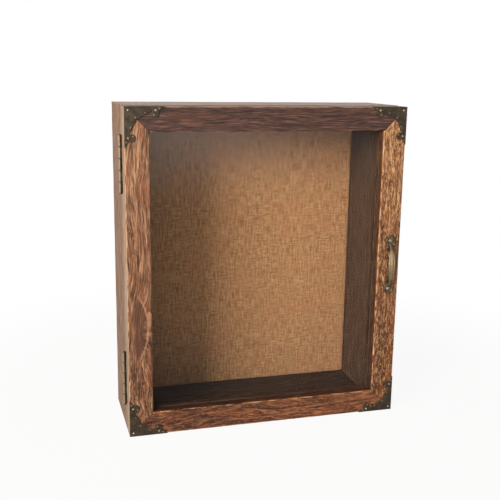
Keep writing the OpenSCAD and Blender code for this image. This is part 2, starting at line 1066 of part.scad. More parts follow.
module pull_handle_screws() {
    color(bronze)
        at_pull()
            for (z = [-lobe_z, lobe_z])
                translate([0, -lobe_t, z])
                    rotate([90, 0, 0])
                        domed_screw();
}

// Places a child, drawn with its face on z = 0 and its depth down -Z, over each magnet
module each_strike() {
    for (z = magnet_zs)
        translate([right_edge_x, door_back_y, z])
            rotate([-90, 0, 0])
                children();
}

module strike_discs() {
    color(steel)
        difference() {
            each_strike()
                translate([0, 0, -strike_t])
                    cylinder(h = strike_t, d = strike_d);
            each_strike()
                countersunk_form(cut);
        }
}

module strike_screws() {
    color(steel)
        each_strike()
            countersunk_screw();
}

case_left_side();
case_right_side();
case_top_board();
case_bottom_board();
case_corner_brads();
back_board();
back_board_screws();
pin_board();
linen_cover();
keyhole_hanger(-1);  // left_keyhole_hanger
keyhole_hanger(1);  // right_keyhole_hanger
hanger_screws();
case_leaf(upper_hinge_z);  // upper_hinge_case_leaf
case_leaf(lower_hinge_z);  // lower_hinge_case_leaf
hinge_pin(upper_hinge_z);  // upper_hinge_pin
hinge_pin(lower_hinge_z);  // lower_hinge_pin
case_hinge_screws();
catch_magnets();
bumper_pads();
door_left_stile();
door_right_stile();
door_top_rail();
door_bottom_rail();
door_v_nails();
glass_pane();
glass_bead("left", door_h);  // glass_bead_left
glass_bead("right", door_h);  // glass_bead_right
glass_bead("top", case_w);  // glass_bead_top
glass_bead("bottom", case_w);  // glass_bead_bottom
glass_bead_pins();
corner_plate(0, 1);  // corner_plate_top_left
corner_plate(1, 1);  // corner_plate_top_right
corner_plate(0, 0);  // corner_plate_bottom_left
corner_plate(1, 0);  // corner_plate_bottom_right
corner_plate_nails();
pull_handle();
pull_handle_screws();
door_leaf(upper_hinge_z);  // upper_hinge_door_leaf
door_leaf(lower_hinge_z);  // lower_hinge_door_leaf
door_hinge_screws();
strike_discs();
strike_screws();
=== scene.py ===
import math

import bmesh
import bpy
from mathutils import Euler, Matrix, Vector, noise


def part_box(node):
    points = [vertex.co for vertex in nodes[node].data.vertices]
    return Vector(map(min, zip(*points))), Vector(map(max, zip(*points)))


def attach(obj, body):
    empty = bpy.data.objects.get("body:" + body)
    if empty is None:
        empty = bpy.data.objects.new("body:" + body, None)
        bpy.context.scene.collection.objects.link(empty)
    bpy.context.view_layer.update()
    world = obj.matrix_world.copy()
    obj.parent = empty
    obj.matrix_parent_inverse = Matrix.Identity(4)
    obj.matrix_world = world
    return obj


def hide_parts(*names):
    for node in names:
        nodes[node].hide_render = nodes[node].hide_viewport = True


# A glazed display case: carved and brushed wood, a linen covered pin board, antique bronze
# fittings. X runs right, Y to the back and Z up. Sizes in the makers' functions are in
# millimetres, and MM turns them into metres.
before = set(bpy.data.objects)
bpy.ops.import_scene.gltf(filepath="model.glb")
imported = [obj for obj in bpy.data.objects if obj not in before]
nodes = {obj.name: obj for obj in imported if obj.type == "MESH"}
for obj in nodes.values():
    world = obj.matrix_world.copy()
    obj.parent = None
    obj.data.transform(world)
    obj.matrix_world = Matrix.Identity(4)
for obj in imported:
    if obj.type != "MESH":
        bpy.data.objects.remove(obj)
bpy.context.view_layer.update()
MM = 0.001
TURN = 2 * math.pi


def extent(node):
    """The lowest and highest corner of a node, in millimetres."""
    low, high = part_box(node)
    return low / MM, high / MM


# The places that the fittings are made to, read from the frame
DOOR_LOW, DOOR_HIGH = extent("door_left_stile")
FACE_Y = DOOR_LOW.y
DOOR_BACK_Y = DOOR_HIGH.y
HALF_W = extent("door_right_stile")[1].x
DOOR_MID_Z = (DOOR_LOW.z + DOOR_HIGH.z) / 2
DOOR_HALF_H = (DOOR_HIGH.z - DOOR_LOW.z) / 2
SIGHT_X = HALF_W - (DOOR_HIGH.x - DOOR_LOW.x)
SIGHT_HALF_H = DOOR_HALF_H - (DOOR_HIGH.x - DOOR_LOW.x)
INNER_X = extent("case_right_side")[0].x
CASE_LOW_Y = extent("case_right_side")[0].y
INNER_LOW_Z = extent("case_bottom_board")[1].z
INNER_HIGH_Z = extent("case_top_board")[0].z
LINEN_LOW, LINEN_HIGH = extent("linen_cover")
PULL_LOW, PULL_HIGH = extent("pull_handle")


def paint(red, green, blue):
    """A colour as it looks on screen, 0 to 255, in the linear values that a shader takes."""
    share = [value / 255 for value in (red, green, blue)]
    return [c / 12.92 if c <= 0.04045 else ((c + 0.055) / 1.055) ** 2.4 for c in share] + [1.0]


class Wiring:
    """Adds nodes to a shader tree. An input takes a plain value or another node's output."""

    def __init__(self, tree):
        self.tree = tree

    def feed(self, socket, value):
        """Links an output to the socket, or writes a plain value into it."""
        if isinstance(value, bpy.types.NodeSocket):
            self.tree.links.new(value, socket)
        else:
            socket.default_value = value

    def put(self, kind, inputs=None, **settings):
        """A new node with its settings made and its inputs fed."""
        node = self.tree.nodes.new(kind)
        for name, value in settings.items():
            setattr(node, name, value)
        for name, value in (inputs or {}).items():
            self.feed(node.inputs[name], value)
        return node

    def sum(self, operation, *values):
        """The outcome of one operation of the Math node."""
        node = self.put("ShaderNodeMath", operation=operation)
        for socket, value in zip(node.inputs, values):
            self.feed(socket, value)
        return node.outputs[0]

    def times(self, first, second):
        return self.sum("MULTIPLY", first, second)

    def minus(self, first, second):
        return self.sum("SUBTRACT", first, second)

    def span(self, value, low, high, first=0.0, last=1.0):
        """value, carried smoothly from low..high to first..last and held at both ends."""
        node = self.put("ShaderNodeMapRange", interpolation_type="SMOOTHSTEP")
        names = ("Value", "From Min", "From Max", "To Min", "To Max")
        for name, given in zip(names, (value, low, high, first, last)):
            self.feed(node.inputs[name], given)
        return node.outputs["Result"]

    def blend(self, share, first, second, how="MIX"):
        """first and second, mixed by share."""
        node = self.put("ShaderNodeMix", data_type="RGBA", blend_type=how)
        for index, value in zip((0, 6, 7), (share, first, second)):
            self.feed(node.inputs[index], value)
        return node.outputs[2]

    def mottle(self, place, detail=2.0, distortion=0.0):
        """Soft noise, about one patch for each unit of place."""
        inputs = {"Vector": place, "Scale": 1.0, "Detail": detail, "Distortion": distortion}
        return self.put("ShaderNodeTexNoise", inputs).outputs["Fac"]

    def drawn(self, place, scale, offset=(0, 0, 0)):
        """place, stretched by scale and moved on by offset."""
        node = self.put("ShaderNodeVectorMath", operation="MULTIPLY_ADD")
        for socket, value in zip(node.inputs, (place, scale, offset)):
            self.feed(socket, value)
        return node.outputs[0]

    def attribute(self, name):
        return self.put("ShaderNodeAttribute", attribute_name=name).outputs["Fac"]

    def place(self):
        """The point in the object's own frame, in metres, which stays put as the door swings."""
        return self.put("ShaderNodeTexCoord").outputs["Object"]

    def split(self, vector):
        return self.put("ShaderNodeSeparateXYZ", {"Vector": vector}).outputs

    def join(self, x, y, z):
        return self.put("ShaderNodeCombineXYZ", {"X": x, "Y": y, "Z": z}).outputs[0]

    def bump(self, height, distance, strength):
        inputs = {"Height": height, "Distance": distance, "Strength": strength}
        return self.put("ShaderNodeBump", inputs).outputs[0]

    def group(self, tree, inputs):
        """A shader group with its inputs fed: its outputs."""
        return self.put("ShaderNodeGroup", inputs, node_tree=tree).outputs

    def finish(self, shader, colour, roughness, height, distance, strength=0.5):
        """Links what changes over a surface to its shader: colour, roughness and relief."""
        self.feed(shader["Base Color"], colour)
        self.feed(shader["Roughness"], roughness)
        self.feed(shader["Normal"], self.bump(height, distance, strength))


def shader_group(name, inputs, outputs):
    """An empty node group with named sockets: its tree, its wiring and both ends."""
    tree = bpy.data.node_groups.new(name, "ShaderNodeTree")
    kinds = {"number": "NodeSocketFloat", "vector": "NodeSocketVector", "colour": "NodeSocketColor"}
    for label, kind in inputs.items():
        tree.interface.new_socket(name=label, in_out="INPUT", socket_type=kinds[kind])
    for label, kind in outputs.items():
        tree.interface.new_socket(name=label, in_out="OUTPUT", socket_type=kinds[kind])
    wire = Wiring(tree)
    return tree, wire, wire.put("NodeGroupInput").outputs, wire.put("NodeGroupOutput").inputs


def make_wood_figure():
    """Streaks, veins and curly flecks of brushed wood, drawn out along the flow of the rings.

    Place runs along the grain in X, in metres. Rings counts the rings of the log."""
    inputs = {"Place": "vector", "Rings": "number", "Curl": "number", "Shade": "number", "Veins": "number"}
    inputs.update({"Pale": "colour", "Mid": "colour", "Dark": "colour", "Rust": "colour"})
    outputs = {"Colour": "colour", "Height": "number", "Roughness": "number"}
    tree, w, given, result = shader_group("wood_figure", inputs, outputs)
    part = w.split(given["Place"])
    flow = w.join(w.sum("DIVIDE", part["X"], MM), given["Rings"], 0.0)
    broad = w.mottle(w.drawn(flow, (0.016, 0.8, 1.0)), 2.0)
    streak = w.mottle(w.drawn(flow, (0.04, 2.5, 1.0)), 3.0, 0.4)
    fine = w.mottle(w.drawn(flow, (0.075, 6.8, 1.0)), 2.0)
    tone = w.sum("MULTIPLY_ADD", w.minus(broad, 0.5), 0.9, 0.5)
    tone = w.sum("MULTIPLY_ADD", w.minus(streak, 0.5), 1.7, tone)
    tone = w.sum("MULTIPLY_ADD", w.minus(fine, 0.5), 2.0, tone)
    tone = w.sum("MULTIPLY_ADD", given["Shade"], 0.3, tone)
    colour = w.blend(w.span(tone, 0.10, 0.52), given["Dark"], given["Mid"])
    colour = w.blend(w.span(tone, 0.50, 0.95), colour, given["Pale"])
    patch = w.mottle(w.drawn(given["Place"], (22, 80, 80)), 3.0)
    colour = w.blend(w.span(patch, 0.50, 0.66, 0.0, 0.6), colour, given["Rust"])
    # Veins are the lines where a drawn-out noise crosses its middle, here and there
    dark_vein = (5, (0.020, 1.15, 1), "Dark", 0.75)
    pale_vein = (11, (0.026, 1.5, 1), "Pale", 0.6)
    for offset, spread, target, share in (dark_vein, pale_vein):
        crossing = w.mottle(w.drawn(flow, spread, (0, 0, offset)), 2.0, 0.3)
        line = w.span(w.sum("ABSOLUTE", w.minus(crossing, 0.5)), 0.004, 0.020, share, 0.0)
        shown = w.span(w.mottle(w.drawn(flow, (0.03, 0.5, 1), (0, 0, offset + 3))), 0.40, 0.56)
        line = w.times(w.times(line, shown), given["Veins"])
        colour = w.blend(line, colour, given[target])
    # Curly flecks lean to both sides, so that they cross
    leans = []
    for lean in (0.75, -0.75):
        across = w.join(w.sum("MULTIPLY_ADD", part["Y"], lean, part["X"]), part["Y"], part["Z"])
        leans.append(w.mottle(w.drawn(across, (230, 640, 640)), 1.0, 0.8))
    commas = w.times(w.span(w.sum("MINIMUM", *leans), 0.42, 0.34), given["Curl"])
    glints = w.times(w.span(w.sum("MAXIMUM", *leans), 0.58, 0.68), given["Curl"])
    colour = w.blend(w.times(glints, 0.55), colour, given["Pale"])
    colour = w.blend(w.times(commas, 0.65), colour, given["Dark"])
    w.feed(result["Colour"], colour)
    relief = w.sum("MULTIPLY_ADD", glints, 0.3, tone)
    w.feed(result["Height"], w.minus(relief, w.times(commas, 0.5)))
    w.feed(result["Roughness"], w.span(tone, 0.0, 1.0, 0.66, 0.5))
    return tree


def make_worn_edge():
    """Where an arris is rubbed pale and has a painted highlight: 1 on the arris, breaking up within Reach
    of it.
    """
    inputs = {"Place": "vector", "Arris": "number", "Reach": "number"}
    tree, w, given, result = shader_group("worn_edge", inputs, {"Mask": "number"})
    patches = w.mottle(w.drawn(given["Place"], (90, 500, 500)), 3.0)
    limit = w.times(given["Reach"], w.span(patches, 0.38, 0.62, 0.15, 1.0))
    near = w.minus(1.0, w.sum("DIVIDE", given["Arris"], limit))
    w.feed(result["Mask"], w.span(near, 0.0, 0.6))
    return tree


def make_patina():
    """Old bronze: dark in the hollows, brassy where Brassy is high, which is rubbed wear on the plates and
    the pull and a painted highlight on the hinges.
    """
    inputs = {"Place": "vector", "Brassy": "number", "Dark": "colour", "Mid": "colour", "Bright": "colour"}
    outputs = {"Colour": "colour", "Roughness": "number", "Height": "number"}
    tree, w, given, result = shader_group("bronze_patina", inputs, outputs)
    cloud = w.mottle(w.drawn(given["Place"], (260, 260, 260)), 3.0)
    grit = w.mottle(w.drawn(given["Place"], (1800, 1800, 1800)), 2.0)
    colour = w.blend(w.span(cloud, 0.35, 0.68), given["Dark"], given["Mid"])
    rubbed = w.sum("MULTIPLY_ADD", w.minus(grit, 0.5), 0.5, given["Brassy"])
    colour = w.blend(w.span(rubbed, 0.35, 0.95), colour, given["Bright"])
    w.feed(result["Colour"], colour)
    w.feed(result["Roughness"], w.span(rubbed, 0.2, 1.0, 0.58, 0.34))
    w.feed(result["Height"], w.sum("MULTIPLY_ADD", cloud, 0.5, grit))
    return tree


def make_linen_weave():
    """Plain weave of slubby threads. Place is across the cloth in X and up it in Z."""
    outputs = {"Thread": "number", "Slub": "number", "Height": "number"}
    tree, w, given, result = shader_group("linen_weave", {"Place": "vector"}, outputs)
    part = w.split(given["Place"])
    wobble = w.mottle(w.drawn(given["Place"], (60, 60, 60)), 2.0)
    warp = w.sum("MULTIPLY_ADD", part["X"], 880.0, w.times(wobble, 3.0))
    weft = w.sum("MULTIPLY_ADD", part["Z"], 980.0, w.times(wobble, 3.4))
    warp_wave = w.sum("SINE", w.times(warp, TURN))
    weft_wave = w.sum("SINE", w.times(weft, TURN))
    half_turns = [w.sum("SINE", w.times(count, math.pi)) for count in (warp, weft)]
    on_top = w.span(w.times(*half_turns), -0.5, 0.5)
    thread = w.times(weft_wave, w.minus(1.0, on_top))
    thread = w.sum("ADD", w.times(warp_wave, on_top), thread)
    tall = w.mottle(w.drawn(given["Place"], (560, 1, 80)), 2.0)
    wide = w.mottle(w.drawn(given["Place"], (95, 1, 680)), 2.0)
    knot = w.mottle(w.drawn(given["Place"], (560, 1, 560)), 2.0)
    slub = w.sum("MULTIPLY_ADD", tall, 0.42, w.times(wide, 0.36))
    slub = w.sum("MULTIPLY_ADD", knot, 0.22, slub)
    w.feed(result["Thread"], thread)
    w.feed(result["Slub"], slub)
    w.feed(result["Height"], w.sum("MULTIPLY_ADD", slub, 1.6, w.times(thread, 0.3)))
    return tree


# The pale colour of the arrises and how far in it reaches: rubbed wear and a painted highlight
WEAR_AND_HIGHLIGHT_TAN = paint(200, 154, 114)
WEAR_AND_HIGHLIGHT_REACH = 1.7
# The dark colour painted on the walls inside the case, and as painted shade on the edges of the door's
# opening
INSIDE_DARK = paint(34, 18, 11)
# The colour of the painted shade in the groove round the door's seam
SEAM_SHADE = paint(74, 56, 42)
JOINT_LINE = paint(36, 24, 18)
WOOD_FIGURE = make_wood_figure()
WEAR_AND_HIGHLIGHT_EDGE = make_worn_edge()
PATINA = make_patina()
LINEN_WEAVE = make_linen_weave()


def new_material(name, metallic=0.0, specular=0.5):
    """A material with its shader and its wiring. What is the same all over is set on the shader."""
    material = bpy.data.materials.new(name)
    material.use_nodes = True
    shader = material.node_tree.nodes["Principled BSDF"]
    shader.inputs["Metallic"].default_value = metallic
    shader.inputs["Specular IOR Level"].default_value = specular
    return material, shader.inputs, Wiring(material.node_tree)


def along_grain(w, run):
    """The point turned so that X runs along the grain."""
    part = w.split(w.place())
    order = {"X": "XYZ", "Z": "ZXY"}[run]
    return w.join(*(part[axis] for axis in order))


def within(w, value, middle, half, soft=0.2 * MM):
    """1 where value lies within half of the middle, 0 outside."""
    off = w.sum("ABSOLUTE", w.minus(value, middle))
    return w.span(off, half - soft, half + soft, 1.0, 0.0)


def inside_case(w):
    """1 on the walls inside the case, which are painted darker."""
    part = w.split(w.place())
    past = 0.6
    middle = (INNER_LOW_Z + INNER_HIGH_Z) / 2 * MM
    half = ((INNER_HIGH_Z - INNER_LOW_Z) / 2 + past) * MM
    across = within(w, part["X"], 0.0, (INNER_X + past) * MM)
    return w.times(across, within(w, part["Z"], middle, half))


def inside_door(w):
    """1 on the edges of the glazed opening behind their rounded front, where shade is painted dark."""
    part = w.split(w.place())
    past = 0.5
    across = within(w, part["X"], 0.0, (SIGHT_X + past) * MM)
    up = within(w, part["Z"], DOOR_MID_Z * MM, (SIGHT_HALF_H + past) * MM)
    deep = w.span(part["Y"], (FACE_Y + 1.2) * MM, (FACE_Y + 2.6) * MM)
    return w.times(deep, w.times(across, up))


def faded_door(w):
    """1 on the door's outer edges, which the stain has left pale."""
    part = w.split(w.place())
    rim = 0.25
    across = within(w, part["X"], 0.0, (HALF_W - rim) * MM)
    up = within(w, part["Z"], DOOR_MID_Z * MM, (DOOR_HALF_H - rim) * MM)
    return w.minus(1.0, w.times(across, up))


def faded_case(w):
    """Rises to 1 towards the front edge of the case, which is rubbed pale."""
    part = w.split(w.place())
    return w.span(part["Y"], (CASE_LOW_Y + 12.0) * MM, (CASE_LOW_Y + 3.0) * MM)


def seam_shade(w):
    """1 in the groove round the seam between the case and its door, where shade is painted."""
    part = w.split(w.place())
    past = 0.85
    middle = (CASE_LOW_Y + DOOR_BACK_Y) / 2 * MM
    half = ((CASE_LOW_Y - DOOR_BACK_Y) / 2 + past) * MM
    return within(w, part["Y"], middle, half, 0.15 * MM)


def half_lens(w, place, figure):
    """A figure like a half-closed eye: its dark inside, and the pale line round its swell."""
    middle, start, half_l, swell = figure
    along = w.sum("DIVIDE", w.minus(place["X"], middle * MM), half_l * MM)
    arch = w.sum("MAXIMUM", w.minus(1.0, w.sum("POWER", w.sum("ABSOLUTE", along), 2.0)), 0.0)
    off = w.sum("DIVIDE", w.minus(place["Y"], start * MM), MM)
    waver = w.mottle(w.drawn(w.place(), (220, 220, 60)), 2.0)
    off = w.sum("ADD", off, w.sum("MULTIPLY_ADD", waver, 2.4, -1.2))
    past = w.minus(off, w.times(arch, swell))
    tips = w.span(w.sum("ABSOLUTE", along), 0.72, 1.0, 1.0, 0.0)
    dark = w.times(w.span(past, -2.0, 0.4, 1.0, 0.0), w.span(off, -2.4, 0.4))
    pale = w.times(w.span(past, -0.4, 0.9), w.span(past, 0.9, 2.6, 1.0, 0.0))
    return w.times(dark, tips), w.times(pale, tips)


def carved_wood(name, board):
    """Brushed wood on a carved board, which has its figure in its mesh's attributes."""
    material, shader, w = new_material(name, specular=0.2)
    pale, mid, dark, rust = board["colours"]
    place = along_grain(w, board["run"])
    given = {label: w.attribute(label.lower()) for label in ("Rings", "Curl", "Shade")}
    given.update({"Place": place, "Veins": board.get("veins", 1.0)})
    given.update({"Pale": pale, "Mid": mid, "Dark": dark, "Rust": rust})
    figure = w.group(WOOD_FIGURE, given)
    colour = figure["Colour"]
    if "eye" in board:
        inside_eye, outline = half_lens(w, w.split(place), board["eye"])
        colour = w.blend(w.times(inside_eye, 0.75), colour, paint(78, 46, 30))
        colour = w.blend(w.times(outline, 0.55), colour, pale)
    colour = w.blend(w.times(board["faded"](w), board["fade"]), colour, board["bare"])
    # Pale arrises: rubbed wear, and a painted highlight where the rounded edges catch the light
    edge = w.group(WEAR_AND_HIGHLIGHT_EDGE, {"Place": place, "Arris": w.attribute("arris"), "Reach": WEAR_AND_HIGHLIGHT_REACH * MM})
    colour = w.blend(w.times(edge["Mask"], 0.7), colour, board.get("worn", WEAR_AND_HIGHLIGHT_TAN))
    # Painted shade in the groove round the seam between the case and its door
    colour = w.blend(w.times(seam_shade(w), 0.75), colour, SEAM_SHADE)
    # The walls inside the case are painted darker, and the edges of the door's opening get painted shade
    darkened = w.blend(board.get("left", 0.16), INSIDE_DARK, colour)
    colour = w.blend(w.times(board["inside"](w), 0.92), colour, darkened)
    seam = w.span(w.attribute("joint"), 0.1 * MM, 0.7 * MM, board.get("joint", 0.85), 0.0)
    colour = w.blend(seam, colour, board.get("joint_colour", JOINT_LINE))
    w.finish(shader, colour, figure["Roughness"], figure["Height"], 0.35 * MM, 0.6)
    return material


def plain_wood(name, run, pale, mid, dark, spacing):
    """Sawn wood or ply that has no carved mesh: its rings are worked out in the shader."""
    material, shader, w = new_material(name, specular=0.25)
    place = along_grain(w, run)
    part = w.split(place)
    bend = w.mottle(w.drawn(place, (9, 30, 30)), 2.0)
    rings = w.sum("MULTIPLY_ADD", part["Y"], 1.0 / (spacing * MM), w.times(bend, 2.0))
    rings = w.sum("MULTIPLY_ADD", part["Z"], 0.6 / (spacing * MM), rings)
    given = {"Place": place, "Rings": rings, "Curl": 0.0, "Shade": 0.0, "Veins": 0.6}
    given.update({"Pale": pale, "Mid": mid, "Dark": dark, "Rust": mid})
    figure = w.group(WOOD_FIGURE, given)
    w.finish(shader, figure["Colour"], figure["Roughness"], figure["Height"], 0.2 * MM)
    return material


def bronze(name, dark, mid, bright, raised=None, metallic=0.75):
    """Antique bronze. raised is a mesh attribute from 0 to 1, or None for an even face."""
    material, shader, w = new_material(name, metallic=metallic)
    given = {"Place": w.place(), "Dark": dark, "Mid": mid, "Bright": bright}
    given["Brassy"] = w.attribute(raised) if raised else 0.45
    patina = w.group(PATINA, given)
    w.finish(shader, patina["Colour"], patina["Roughness"], patina["Height"], 0.05 * MM)
    return material


def linen_cloth():
    """Natural linen: slubby threads, cloudy reddish and olive tints, and dark gaps in the weave."""
    material, shader, w = new_material("linen_cloth", specular=0.12)
    place = w.place()
    weave = w.group(LINEN_WEAVE, {"Place": place})
    slub = weave["Slub"]
    colour = w.blend(w.span(slub, 0.35, 0.65), paint(154, 98, 60), paint(222, 160, 110))
    tint = w.mottle(w.drawn(place, (26, 1, 26)), 2.0)
    colour = w.blend(w.span(tint, 0.4, 0.66, 0.0, 0.3), colour, paint(198, 126, 88))
    olive = w.mottle(w.drawn(place, (38, 5, 22)), 2.0)
    colour = w.blend(w.span(olive, 0.5, 0.7, 0.0, 0.3), colour, paint(182, 134, 84))
    gaps = w.span(weave["Thread"], -0.9, 0.2, 0.78, 1.0)
    colour = w.blend(1.0, colour, w.join(gaps, gaps, gaps), "MULTIPLY")
    w.feed(shader["Base Color"], colour)
    shader["Roughness"].default_value = 0.9
    shader["Sheen Weight"].default_value = 0.15
    shader["Sheen Roughness"].default_value = 0.5
    w.feed(shader["Normal"], w.bump(weave["Height"], 0.3 * MM, 0.7))
    return material


def picture_glass():
    """Low reflecting picture glass, which lets the lamps through to the case behind it."""
    material, shader, w = new_material("picture_glass")
    shader["Transmission Weight"].default_value = 1.0
    shader["IOR"].default_value = 1.15
    shader["Base Color"].default_value = paint(246, 250, 249)
    smears = w.mottle(w.drawn(w.place(), (30, 30, 18)), 3.0)
    w.feed(shader["Roughness"], w.span(smears, 0.4, 0.75, 0.01, 0.05))
    tree = material.node_tree
    path = w.put("ShaderNodeLightPath").outputs
    clear = w.put("ShaderNodeBsdfTransparent", {"Color": paint(246, 250, 249)})
    mixed = w.put("ShaderNodeMixShader")
    w.feed(mixed.inputs[0], w.sum("MAXIMUM", path["Is Shadow Ray"], path["Is Diffuse Ray"]))
    w.feed(mixed.inputs[1], tree.nodes["Principled BSDF"].outputs[0])
    w.feed(mixed.inputs[2], clear.outputs[0])
    w.feed(tree.nodes["Material Output"].inputs["Surface"], mixed.outputs[0])
    return material


def speckled(name, first, second, scale, roughness, metallic=0.0, height=0.05):
    """A plain material with fine cloudy colour, for metal, rubber and board."""
    material, shader, w = new_material(name, metallic=metallic)
    place = w.place()
    cloud = w.mottle(w.drawn(place, (scale, scale, scale)), 4.0)
    colour = w.blend(w.span(cloud, 0.35, 0.65), first, second)
    varied = w.span(cloud, 0.3, 0.7, roughness - 0.08, roughness + 0.08)
    w.finish(shader, colour, varied, cloud, height * MM)
    return material


def add_object(name, mesh, body, slot, *replaced):
    """A new piece: linked, riding its body, with the nodes it stands for hidden. slot is not used."""
    piece = bpy.data.objects.new(name, mesh)
    bpy.context.scene.collection.objects.link(piece)
    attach(piece, body)
    if replaced:
        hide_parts(*replaced)
    return piece


# The boards

AXES = {"X": 0, "Y": 1, "Z": 2}
RUN_STEP = 4.5
JOINT_ROUND = 0.2
FACE_REACH = 2.5
MITRE_CLEAR = 0.8
BRUSHED_DEPTH = 0.14
WORN_DEPTH = 0.28
WORN_ARRIS = 1.6


def ring_count(figure, along, across, deep):
    """Rings of the log at a point of a board: far-off growth rings, waves and lens figures."""
    seed = figure["seed"]
    reach = math.hypot(across - figure["heart"][0], deep - figure["heart"][1])
    reach += figure["wave"] * noise.noise(Vector((along / 95, across / 34, seed + deep / 34)))
    reach += figure["ripple"] * noise.noise(Vector((along / 26, across / 10, seed + 7 + deep / 10)))
    reach += 0.35 * noise.noise(Vector((along / 10, across / 4, seed + 13 + deep / 4)))
    for middle, off, half_l, half_w, swell in figure.get("lenses", ()):
        spread = ((along - middle) / half_l) ** 2 + ((across - off) / half_w) ** 2
        reach += swell * math.exp(-spread)
    return reach / figure["spacing"]


def cut_fine(mesh, axis, step):
    """Cuts a mesh by planes across an axis, so that it has a vertex about every step."""
    places = [vert.co[axis] for vert in mesh.verts]
    low, high = min(places), max(places)
    count = max(1, round((high - low) / (step * MM)))
    normal = Vector((0, 0, 0))
    normal[axis] = 1
    for index in range(1, count):
        point = normal * (low + (high - low) * index / count)
        geometry = mesh.verts[:] + mesh.edges[:] + mesh.faces[:]
        bmesh.ops.bisect_plane(mesh, geom=geometry, dist=0.02 * MM, plane_co=point, plane_no=normal)


def is_mitre(normal):
    """Whether a face with this normal is a board's sloping end."""
    return abs(normal.x) > 0.3 and abs(normal.z) > 0.3


def soften_arrises(mesh, width, joint_width):
    """Rounds the long arrises of a board, and the edges of its mitres a little."""
    for wanted, offset in ((False, width), (True, joint_width)):
        edges = []
        for edge in mesh.edges:
            if len(edge.link_faces) != 2 or edge.calc_length() < 10 * MM or not edge.is_convex:
                continue
            mitred = any(is_mitre(face.normal) for face in edge.link_faces)
            if mitred == wanted and edge.calc_face_angle() > math.radians(35):
                edges.append(edge)
        shape = {"offset": offset * MM, "segments": 2, "profile": 0.5, "clamp_overlap": True}
        bmesh.ops.bevel(mesh, geom=edges, affect="EDGES", **shape)


def way_out(vert, low, high, side_axes):
    """The way out of a board's long faces at a vertex, or no length where an inner face meets it."""
    push = Vector((0, 0, 0))
    for face in vert.link_faces:
        if is_mitre(face.normal):
            continue
        centre = face.calc_center_median() / MM
        for axis in side_axes:
            bound = high[axis] if face.normal[axis] > 0 else low[axis]
            if abs(face.normal[axis]) > 0.5 and abs(centre[axis] - bound) < FACE_REACH:
                push += face.normal
                break
        else:
            return Vector((0, 0, 0))
    return push


def brushed_depth(seed, along, cross, rings, to_arris):
    """How deep the brush went: into the soft rings, and deeper along the arrises here and there."""
    relief = noise.noise(Vector((along * 0.05, rings * 2.3, seed)))
    wear = noise.noise(Vector((along / 14, cross / 30, seed + 31)))
    return BRUSHED_DEPTH * (1 - relief) + WORN_DEPTH * max(0.0, wear) * max(0.0, 1 - to_arris / WORN_ARRIS)


def carve_board(node, board, material):
    """Copies a board, rounds its arrises, cuts it fine and brushes its figure into it."""
    low, high = extent(node)
    run, across, figure = board["run"], board["across"], board["figure"]
    run_axis = AXES[run]
    side_axes = [axis for axis in range(3) if axis != run_axis]
    across_axis = AXES[across]
    deep_axis = 3 - run_axis - across_axis
    mesh = bmesh.new()
    mesh.from_mesh(nodes[node].data)
    bmesh.ops.remove_doubles(mesh, verts=mesh.verts, dist=0.001 * MM)
    bmesh.ops.dissolve_limit(mesh, angle_limit=math.radians(0.5), verts=mesh.verts, edges=mesh.edges)
    mesh.normal_update()
    soften_arrises(mesh, figure["round"], JOINT_ROUND)
    for axis in range(3):
        cut_fine(mesh, axis, RUN_STEP if axis == run_axis else figure["grid"])
    mesh.normal_update()
    names = ("rings", "curl", "shade", "arris", "joint")
    layers = {name: mesh.verts.layers.float.new(name) for name in names}
    # The mitre rises over the board's width while it runs mitre_run along it, from the outer side in
    half_run = (high[run_axis] - low[run_axis]) / 2
    middle = (high[run_axis] + low[run_axis]) / 2
    rise_axis = 2 if run == "X" else 0
    centre_line = DOOR_MID_Z if run == "X" else 0
    outer = max(low[rise_axis], high[rise_axis], key=lambda side: abs(side - centre_line))
    rise = high[rise_axis] - low[rise_axis]
    run_in = figure["mitre_run"]
    slant = math.hypot(rise, run_in)
    moves = []
    for vert in mesh.verts:
        at = vert.co / MM
        along, cross, deep = at[run_axis], at[across_axis], at[deep_axis]
        rings = ring_count(figure, along, cross, deep)
        to_joint = ((half_run - abs(along - middle)) * rise - abs(at[rise_axis] - outer) * run_in) / slant
        to_arris = max(min(at[axis] - low[axis], high[axis] - at[axis]) for axis in side_axes)
        vert[layers["rings"]] = rings
        vert[layers["curl"]] = figure["curl"](along)
        vert[layers["shade"]] = figure["shade"](along)
        vert[layers["arris"]] = to_arris * MM
        vert[layers["joint"]] = max(0.0, to_joint) * MM
        push = way_out(vert, low, high, side_axes)
        if push.length < 0.01 or to_joint < MITRE_CLEAR:
            continue
        depth = brushed_depth(figure["seed"], along, cross, rings, to_arris)
        moves.append((vert, push.normalized() * (-depth * MM)))
    for vert, move in moves:
        vert.co += move
    data = bpy.data.meshes.new(node + "_carved")
    mesh.to_mesh(data)
    mesh.free()
    data.shade_smooth()
    data.set_sharp_from_angle(angle=math.radians(35))
    data.materials.append(material)
    return add_object(node + "_carved", data, board["body"], board["slot"], node)


def steady(value):
    """A value that is the same all along a board."""
    return lambda along: value


def slope(start, end, first, last):
    """A value that goes from first at start to last at end along a board."""
    def at(along):
        share = min(1.0, max(0.0, (along - start) / (end - start)))
        return first + (last - first) * share
    return at


# A board's colours are its pale, middle, dark and rusty wood. A figure's heart is where the log's
# middle would be, across the board and in depth, and a lens is a figure like a half-closed eye.
# The shade slopes that darken the door's stiles towards the bottom are painted shade; the bottom
# rail's slope darkens its left end, and the case's left side is a little darker at the bottom.


